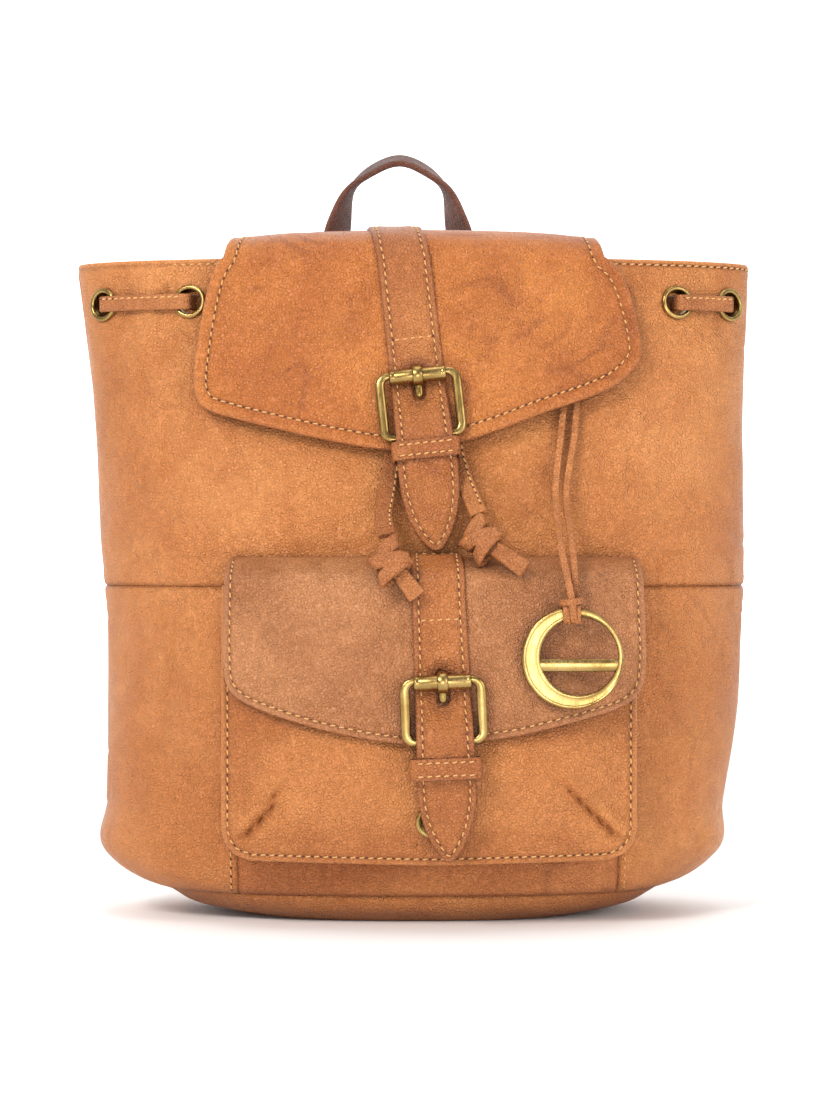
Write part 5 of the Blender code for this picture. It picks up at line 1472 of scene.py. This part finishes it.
# ---- the flaps ----------------------------------------------------------------------------------
def flap_creases(scale, depth, seed):
    """Soft waves and sharp ridged creases over a flap."""
    def shape(flat, ring):
        p = np.column_stack([flat[:, 0], 0 * flat[:, 0], flat[:, 1]])
        warp = 0.006 * np.column_stack([noise(p, 0.03, seed + 5), 0 * ring, noise(p, 0.03, seed + 6)])
        wave = depth * noise(p + warp, (scale * 1.5, 1, scale), seed)
        ridge = np.abs(noise(p + warp * 1.6, (scale, 1, scale * 0.8), seed + 1))
        sharp = -0.00038 * bump(ridge, 0.06) * ramp(noise(p, 0.045, seed + 2), -0.2, 0.35)
        second = np.abs(noise(p + warp * 2.2, (scale * 0.5, 1, scale * 0.45), seed + 3))
        sharp = sharp - 0.00018 * bump(second, 0.07) * ramp(noise(p, 0.03, seed + 4), 0.0, 0.5)
        return (wave + sharp) * ramp(ring, 0.0035, 0.009)
    return shape


def open_seam(loop, inset, above):
    """The seam inside a flap's edge, from one side of its root round to the other; it starts past ABOVE."""
    line = shrunk(even(loop, 0.0018, closed=True), inset)
    line = line[line[:, 1] > above]
    gap = int(np.argmax(np.linalg.norm(np.diff(line, axis=0, append=line[:1]), axis=1)))
    return np.roll(line, -gap - 1, axis=0)


def make_flaps():
    def main(x, q, h):
        return lifted(main_flap_surface, x, q, FLAP_LINING + np.asarray(h))

    loop = main_flap_loop()
    leather_cut("main_flap", loop, main, "flap_leather", seam=MAIN_SEAM, roll=0.0005, spacing=0.0021,
            shape=flap_creases(0.034, 0.0005, 111), body="main_flap_body", rows=EDGE_ROWS + (0.0082,))
    line = open_seam(loop, MAIN_SEAM, -FLAP_TOP + 0.012)
    sewn("main_flap_stitches", main, line, STRAP - 0.00025, body="main_flap_body")

    def lining(x, q, h):
        return lifted(main_flap_surface, x, q, h)

    leather_cut("main_flap_lining", shrunk(even(loop, 0.003, closed=True), 0.004), lining,
            "lining_fabric", thick=0.0007, spacing=0.005, body="main_flap_body", rows=(0.001, 0.003))
    make_flap_root()

    def pocket(x, q, h):
        return lifted(pocket_flap_surface, x, q, h)

    loop = pocket_flap_loop()
    leather_cut("pocket_flap", loop, pocket, "pocket_flap_leather", seam=EDGE_SEAM, roll=0.0004,
            spacing=0.0021, shape=flap_creases(0.03, 0.0003, 131), body="pocket_flap_body")
    line = open_seam(loop, EDGE_SEAM, 0.008)
    sewn("pocket_flap_stitches", pocket, line, STRAP - 0.00025, body="pocket_flap_body")
    make_pocket_root()


def make_flap_root():
    """The strip sewn to the back panel that the main flap hangs from."""
    outline = [(-0.085, -FLAP_TOP + 0.003), (0.085, -FLAP_TOP + 0.003), (0.086, -FLAP_TOP - 0.01),
               (0.08, -FLAP_TOP - 0.024), (-0.08, -FLAP_TOP - 0.024), (-0.086, -FLAP_TOP - 0.01)]

    def root(x, q, h):
        return lifted(main_flap_surface, x, q, 0.0004 + np.asarray(h) * 0.8)

    leather_cut("flap_root", outline, root, "flap_leather", seam=0.004, spacing=0.003, new=True)
    sewn("flap_root_stitches", root, [(-0.0775, -FLAP_TOP - 0.02), (0.0775, -FLAP_TOP - 0.02)],
         STRAP - 0.0002)


def make_pocket_root():
    """The turned edge by which the pocket flap is sewn to the bag."""
    def root(x, s, h):
        z = POCKET_FLAP_Z + np.asarray(s, float)
        return np.column_stack([x, front_y(x, z) - 0.0006 - h, z])

    outline = [(-0.0915, -0.002), (0.1108, -0.002), (0.1108, 0.0016), (-0.0915, 0.0016)]
    leather_cut("pocket_flap_root", outline, root, "pocket_flap_leather", thick=0.0014, spacing=0.003,
            rows=(0.0005, 0.0011), new=True)


# ---- straps and buckles -------------------------------------------------------------------------
def make_strap(kind):
    body = kind + "_flap_body"

    def place(a, length, h):
        return strap_points(kind, a, length, strap_height(length, kind) + h)

    def shape(flat, ring):
        p = np.column_stack([flat[:, 0], 0 * ring, flat[:, 1]])
        return (0.00025 * ramp(ring, 0.003, 0.008) + 0.00022 * noise(p, (0.012, 1, 0.02),
                151)) * ramp(ring, 0.003, 0.006)

    loop = strap_loop(kind)
    leather_cut(kind + "_strap", loop, place, "strap_leather", seam=0.0031, roll=0.0002, spacing=0.002,
            holes=[slot_loop()], shape=shape, body=body)
    line = shrunk(even(loop, 0.0015, closed=True), 0.0031)
    sewn(kind + "_strap_stitches", place, line, STRAP - 0.0003, closed=True, body=body)
    cross = {"main": -0.02, "pocket": -0.03}[kind]
    sewn(kind + "_strap_cross_stitches", place, [(-0.0098, cross), (0.0098, cross)], STRAP - 0.0001,
         body=body, pitch=0.0039)


def make_chape(kind):
    """The leather loop round the heel bar, its legs running on under the keeper."""
    heel, thick = BUCKLE[kind]["heel"], 0.0011
    bar, half = 0.0021, 0.0105
    a = np.radians(np.linspace(90, 270, 19))

    def arc(radius):
        return np.column_stack([heel + radius * np.cos(a), HEEL_H + radius * np.sin(a)])

    end = heel + 0.015
    low = HEEL_H - bar
    profile = np.vstack([[(end, 0.0044), (heel + 0.01, 0.0044)], arc(bar + thick),
                         [(heel + 0.004, low - thick), (end, low - thick), (end, low), (heel + 0.004, low)],
                         arc(bar)[::-1], [(heel + 0.01, 0.0044 - thick), (end, 0.0044 - thick)]])
    loops = [rigid(kind, np.column_stack([np.full(len(profile), s), profile])) for s in np.linspace(-half,
            half, 7)]
    verts, faces = skin(loops)
    add(kind + "_chape", verts, faces, "strap_leather", body=kind + "_flap_body", marks=plain(verts))


def make_keeper(kind):
    """The leather loop round the strap, with a stitched line along its face."""
    start, end = BUCKLE[kind]["keeper"]
    half, thick = BUCKLE[kind]["keeper_half"], 0.0009
    low = 0.0004
    high = float(strap_height(start, kind)) + STRAP + 0.0018

    def loop(w, bottom, top, radius):
        found = []
        for sx, sy, turn in ((1, 1, 0), (-1, 1, 90), (-1, -1, 180), (1, -1, 270)):
            a = np.radians(turn + np.array([0, 15, 30, 45, 60, 75, 90]))
            cy = (top - radius) if sy > 0 else (bottom + radius)
            found.append(np.column_stack([sx * (w - radius) + radius * np.cos(a), cy + radius * np.sin(a)]))
            if sx == sy:
                across = np.linspace(1, -1, 12)[1:-1] * sx * (w - radius)
                found.append(np.column_stack([across, np.full(10, top if sy > 0 else bottom)]))
        return np.vstack(found)

    rows = []
    bulge = ((start, -0.0005), (start + 0.0003, -0.00015), (start + 0.0009, 0.0),
            (start + 0.0024, 0.0003), ((start + end) / 2, 0.0002), (end - 0.0024, 0.0003),
            (end - 0.0009, 0.0), (end - 0.0003, -0.00015), (end, -0.0005))
    for at, more in bulge:
        rows.append((loop(half + more, low, high + more, 0.0024), at))
    rows += [(loop(half - thick, low + thick, high - thick, 0.0014), at) for at in (end, start)]
    loops = [rigid(kind, np.column_stack([ring[:, 0], np.full(len(ring), at), ring[:, 1]])) for ring,
            at in rows]
    verts, faces = skin(loops, closed=True)
    count = len(loops[0])
    across = np.concatenate([np.full(count, at) for _, at in rows])
    near = np.minimum(np.abs(across - start - 0.0018), np.abs(across - end + 0.0018))
    add(kind + "_keeper", verts, faces, "strap_leather", body=kind + "_flap_body",
        marks={"edge": bump(np.minimum(across - start, end - across), 0.0005),
            "seam": 0.6 * bump(near, 0.0008), "fold": np.zeros(len(verts))})
    out = buckle_axes(kind)[3]
    for k, at in enumerate((start + 0.0021, end - 0.0021)):
        line = rigid(kind, np.column_stack([np.linspace(-half + 0.003, half - 0.003, 30), np.full(30, at),
                                            np.full(30, high + 0.0001)]))
        stitches(f"{kind}_keeper_stitches_{k + 1}", line, np.broadcast_to(out, line.shape),
                body=kind + "_flap_body", pitch=0.0039)


def make_buckle(kind):
    """Frame, roller and prong of one buckle."""
    b = BUCKLE[kind]
    body = kind + "_flap_body"
    top, heel, half, corner = -BAR_OFFSET, b["heel"], b["half"], 0.0045
    _, axis, _, out = buckle_axes(kind)
    path, widths = [], []
    for sx, end, turn in ((1, heel, 0), (-1, heel, 90), (-1, top, 180), (1, top, 270)):
        centre = end - corner if end == heel else end + corner
        for a in np.radians(turn + np.linspace(0, 90, 9)):
            along = (centre - top) / (heel - top)
            path.append((sx * (half - corner) + corner * math.cos(a), centre + corner * math.sin(a),
                         ROLLER_H + (HEEL_H - ROLLER_H) * along))
            widths.append(0.0017 + 0.0007 * abs(math.cos(a)))
    dense = even(rigid(kind, path), 0.0012, closed=True)
    rough = rigid(kind, path)
    nearest = np.argmin(np.linalg.norm(dense[:, None] - rough[None], axis=2), axis=1)
    wide = np.array(widths)[nearest]
    wide = np.mean([np.roll(wide, s) for s in (-2, -1, 0, 1, 2)], axis=0)
    a = np.linspace(0, 2 * np.pi, 20, endpoint=False)
    oval = np.column_stack([np.sign(np.cos(a)) * np.abs(np.cos(a)) ** 0.75,
            np.sign(np.sin(a)) * np.abs(np.sin(a)) ** 0.85])
    outlines = np.stack([oval * (0.0017, w) for w in wide])
    verts, faces = swept(dense, out, outlines, closed=True)
    add(kind + "_buckle_frame", verts, faces, "antique_brass", body=body)
    centre = rigid(kind, (0.0, 0.0, ROLLER_H))[0]
    reach, r = b["roller_half"], ROLLER_R
    profile = [(0.0028, -reach), (r - 0.0006, -reach), (r - 0.0002, -reach + 0.0002),
            (r, -reach + 0.0007), (r, -reach + 0.0016), (r - 0.00025, -reach + 0.0021),
            (r, -reach + 0.0026), (r, reach - 0.0026), (r - 0.00025, reach - 0.0021), (r, reach - 0.0016),
            (r, reach - 0.0007), (r - 0.0002, reach - 0.0002), (r - 0.0006, reach), (0.0028, reach)]
    verts, faces = turned(profile, centre, axis, 48)
    add(kind + "_roller", verts, faces, "antique_brass", body=kind + "_roller_body")
    inner, outer, split = r + 0.0003, r + 0.0015, 0.0025
    ring = turned([(inner, -split), (outer - 0.0004, -split), (outer, -split + 0.0005),
            (outer, split - 0.0005), (outer - 0.0004, split), (inner, split)], centre, axis, 48)
    line = rigid(kind, [(0, 0.0026, 0.0034), (0, 0.0045, 0.0024), (0, 0.007, 0.0021), (0, 0.01, 0.002)])
    tongue = swept(smooth(line, 14), axis, section("oval", 0.002, 0.0009, 16),
                   scale=[1, 1, 1, 1, 1, 1, 1, 1, 1, 1, 0.98, 0.9, 0.75, 0.45])
    verts, faces = joined(ring, tongue)
    add(kind + "_prong", verts, faces, "antique_brass", body=kind + "_prong_body")


def make_snap(kind):
    """The magnetic snap's two discs."""
    length = {"main": 0.0705, "pocket": 0.069}[kind]
    gap = 0.0003
    face, high, base = strap_points(kind, [0.0] * 3, [length] * 3,
            [float(strap_height(length, kind)) - gap, 0.002, 0.0])
    out = unit(high - base)
    depth = POCKET_DEPTH if kind == "pocket" else 0.0
    level = float(front_y(np.float64(face[0]), np.float64(face[2]))) - depth - gap
    room = (level - face[1]) * abs(out[1])
    stud = room - 0.0022 - gap
    socket, shift = {"main": ("body_snap_socket", 0.0), "pocket": ("pocket_snap_socket", 0.0085)}[kind]
    base = face - out * room - (shift, 0, 0)
    shapes = ((kind + "_snap_stud", face, -stud, 0.0, 0.007, kind + "_flap_body"),
              (socket, base, 0.0, 0.0022, 0.0074, "bag"))
    for name, at, low, high, r, body in shapes:
        profile = [(0.0012, low), (r - 0.0004, low), (r, low + 0.0004), (r, high - 0.0004),
                (r - 0.0004, high), (r - 0.0016, high), (r - 0.0022, high - 0.0003),
                (0.0012, high - 0.0003)]
        verts, faces = turned(profile, at, out, 40)
        add(name, verts, faces, "antique_brass", body=body)


# ---- handle and shoulder straps -----------------------------------------------------------------
def make_handle():
    """The carrying handle: flat where it is sewn, edge-on at the top of its arch."""
    lean = math.tan(math.radians(18))
    route = [(-0.0426, 0.302), (-0.0426, 0.313), (-0.0425, 0.34), (-0.04, 0.364), (-0.031, 0.386),
             (-0.008, 0.3985), (0.014, 0.386), (0.0225, 0.364), (0.0262, 0.34), (0.0275, 0.313),
             (0.0276, 0.302)]
    flat = even(smooth(route, 300), 0.002)
    x, z = flat.T
    y = HANDLE_PIVOT[1] + lean * np.maximum(z - HANDLE_PIVOT[2], -0.002) - ramp(z, 0.313, 0.302) * 0.003
    twist = np.clip((z - HANDLE_PIVOT[2]) / 0.08, 0, 1) * math.radians(90)
    half_way = np.arange(len(flat)) > len(flat) // 2
    wide = np.column_stack([np.where(half_way, -1, 1) * np.cos(twist), np.sin(twist), lean * np.sin(twist)])
    path = np.column_stack([x, y, z])
    verts, faces = swept(path, wide, strip(0.0095, 0.0018))
    count = len(strip(0.0095, 0.0018))
    add("top_handle", verts, faces, "handle_leather",
        blends=("bag", "handle_body", (0, 0.057, 0.308), (0, 0.057, 0.318)),
        marks={"edge": np.tile(bump(np.abs(strip(0.0095, 0.0018)[:, 0]) - 0.0095, 0.0012), len(path)),
            "seam": np.zeros(len(path) * count), "fold": np.zeros(len(path) * count)})

    def place(u, v, h):
        return np.column_stack([u, back_y(u, v) + 0.0003 + h, v])

    outline = [(-0.055, 0.308), (-0.055, 0.282), (-0.048, 0.262), (0.0, 0.254), (0.048, 0.262),
            (0.055, 0.282), (0.055, 0.308)]
    leather_cut("yoke_patch", outline, place, "strap_leather", thick=0.0026, seam=0.0034, roll=0.0002,
            slot="body_leather")
    sewn("yoke_stitches", place, shrunk(even(outline, 0.0015, closed=True), 0.0034), 0.0024, closed=True)


def shoulder_route(side):
    points = [(0.034, 0.0085, 0.29), (0.04, 0.022, 0.28), (0.054, 0.04, 0.255), (0.072, 0.052, 0.215),
              (0.086, 0.054, 0.17), (0.095, 0.046, 0.128)]
    return [(side * x, float(back_y(np.float64(side * x), np.float64(z))) + off, z) for x, off, z in points]


def make_shoulder_straps():
    for name, side in (("left", -1), ("right", 1)):
        body = f"shoulder_{name}_body"
        route = shoulder_route(side)
        path = even(smooth(route, 300), 0.0025)
        f = np.linspace(0, 14, len(path))
        widths = 0.011 + 0.007 * np.minimum(f / 4, 1.0) - 0.004 * np.maximum(0, f - 11) / 3
        outlines = np.stack([section("strip", w, 0.0024) for w in widths])
        across = (1.0, 0.0, 0.3 * side)
        verts, faces = swept(path, across, outlines)
        mark = np.concatenate([bump(w - np.abs(o[:, 0]), 0.0012) for w, o in zip(widths, outlines)])
        add("shoulder_strap_" + name, verts, faces, "strap_leather", body=body,
            marks={"edge": mark, "seam": 0 * mark, "fold": 0 * mark})
        _, w, t = frames_along(path, across)
        for k, (edge, face) in enumerate(((-1, 1), (1, 1), (-1, -1), (1, -1))):
            line = path + w * (edge * (widths - 0.003))[:, None] + t * (face * 0.0024)
            stitches(f"shoulder_{name}_stitches_{k + 1}", line[2:-2], (t * face)[2:-2], body=body)
        low_start = np.array(smooth(route, 15)[-1]) + (side * 0.0018, -0.0055, -0.0175)
        foot = (side * 0.112, float(back_y(np.float64(side * 0.112), np.float64(0.04))) + 0.011, 0.04)
        bend = (side * 0.104, float(back_y(np.float64(side * 0.104), np.float64(0.075))) + 0.026, 0.075)
        tail = even(smooth([low_start, bend, foot], 120), 0.0025)
        verts, faces = swept(tail, (1.0, 0.0, 0.25 * side), section("strip", 0.0095, 0.0014))
        add("strap_tail_" + name, verts, faces, "strap_leather", body=body, marks=plain(verts))
        _, w, t = frames_along(tail, (1.0, 0.0, 0.25 * side))
        for k, (edge, face) in enumerate(((-1, 1), (1, 1), (-1, -1), (1, -1))):
            line = tail + w * (edge * 0.007) + t * (face * 0.0014)
            stitches(f"strap_tail_{name}_stitches_{k + 1}", line, t * face, body=body)
        make_adjuster(name, side, np.array(smooth(route, 15)[-1]), tail[0], body)
        make_anchor(name, side)


def make_adjuster(name, side, up, down, body):
    """The rectangular brass loop between a shoulder strap and its tail."""
    along = unit(down - up)
    start, end = up + along * 0.0028, down - along * 0.0028
    across = np.array((1.0, 0.0, 0.28 * side))
    across = unit(across - along * (across @ along))
    half, corner = 0.0155, 0.003
    middle, reach = (start + end) / 2, np.linalg.norm(end - start) / 2
    path = []
    for sx, sl, turn in ((1, 1, 0), (-1, 1, 90), (-1, -1, 180), (1, -1, 270)):
        for a in np.radians(turn + np.linspace(0, 90, 8)):
            path.append(middle + across * (sx * (half - corner) + corner * math.cos(a))
                        + along * (sl * (reach - corner) + corner * math.sin(a)))
    verts, faces = swept(even(path, 0.001, closed=True), np.cross(along, across),
            section("oval", 0.0014, 0.0014, 16), closed=True)
    add("strap_adjuster_" + name, verts, faces, "antique_brass", body=body)


def make_anchor(name, side):
    """The sewn tab at the bag's foot that the strap's tail comes from."""
    def place(x, z, h):
        return np.column_stack([x, back_y(x, z) + 0.0009 + h, z])

    x0, x1 = side * 0.1, side * 0.128
    outline = np.array([(x0, 0.0225), (x1, 0.0225), (x1, 0.038), ((x0 + x1) / 2 + side * 0.004, 0.048),
            (x0, 0.045)])
    leather_cut("anchor_tab_" + name, outline, place, "strap_leather", thick=0.0034, seam=0.003,
            roll=0.0002, slot="body_leather")
    sewn("anchor_stitches_" + name, place, shrunk(even(outline, 0.0015, closed=True), 0.003), 0.0032,
         closed=True)


# ---- the whole ----------------------------------------------------------------------------------
def main():
    make_materials()
    make_camera()
    make_tail("left", "3")
    make_tail("right", "4")
    make_tag()
    make_stage()
    make_body()
    make_pocket()
    make_flaps()
    for kind in BUCKLE:
        make_strap(kind)
        make_chape(kind)
        make_keeper(kind)
        make_buckle(kind)
        make_snap(kind)
    make_handle()
    make_shoulder_straps()


main()
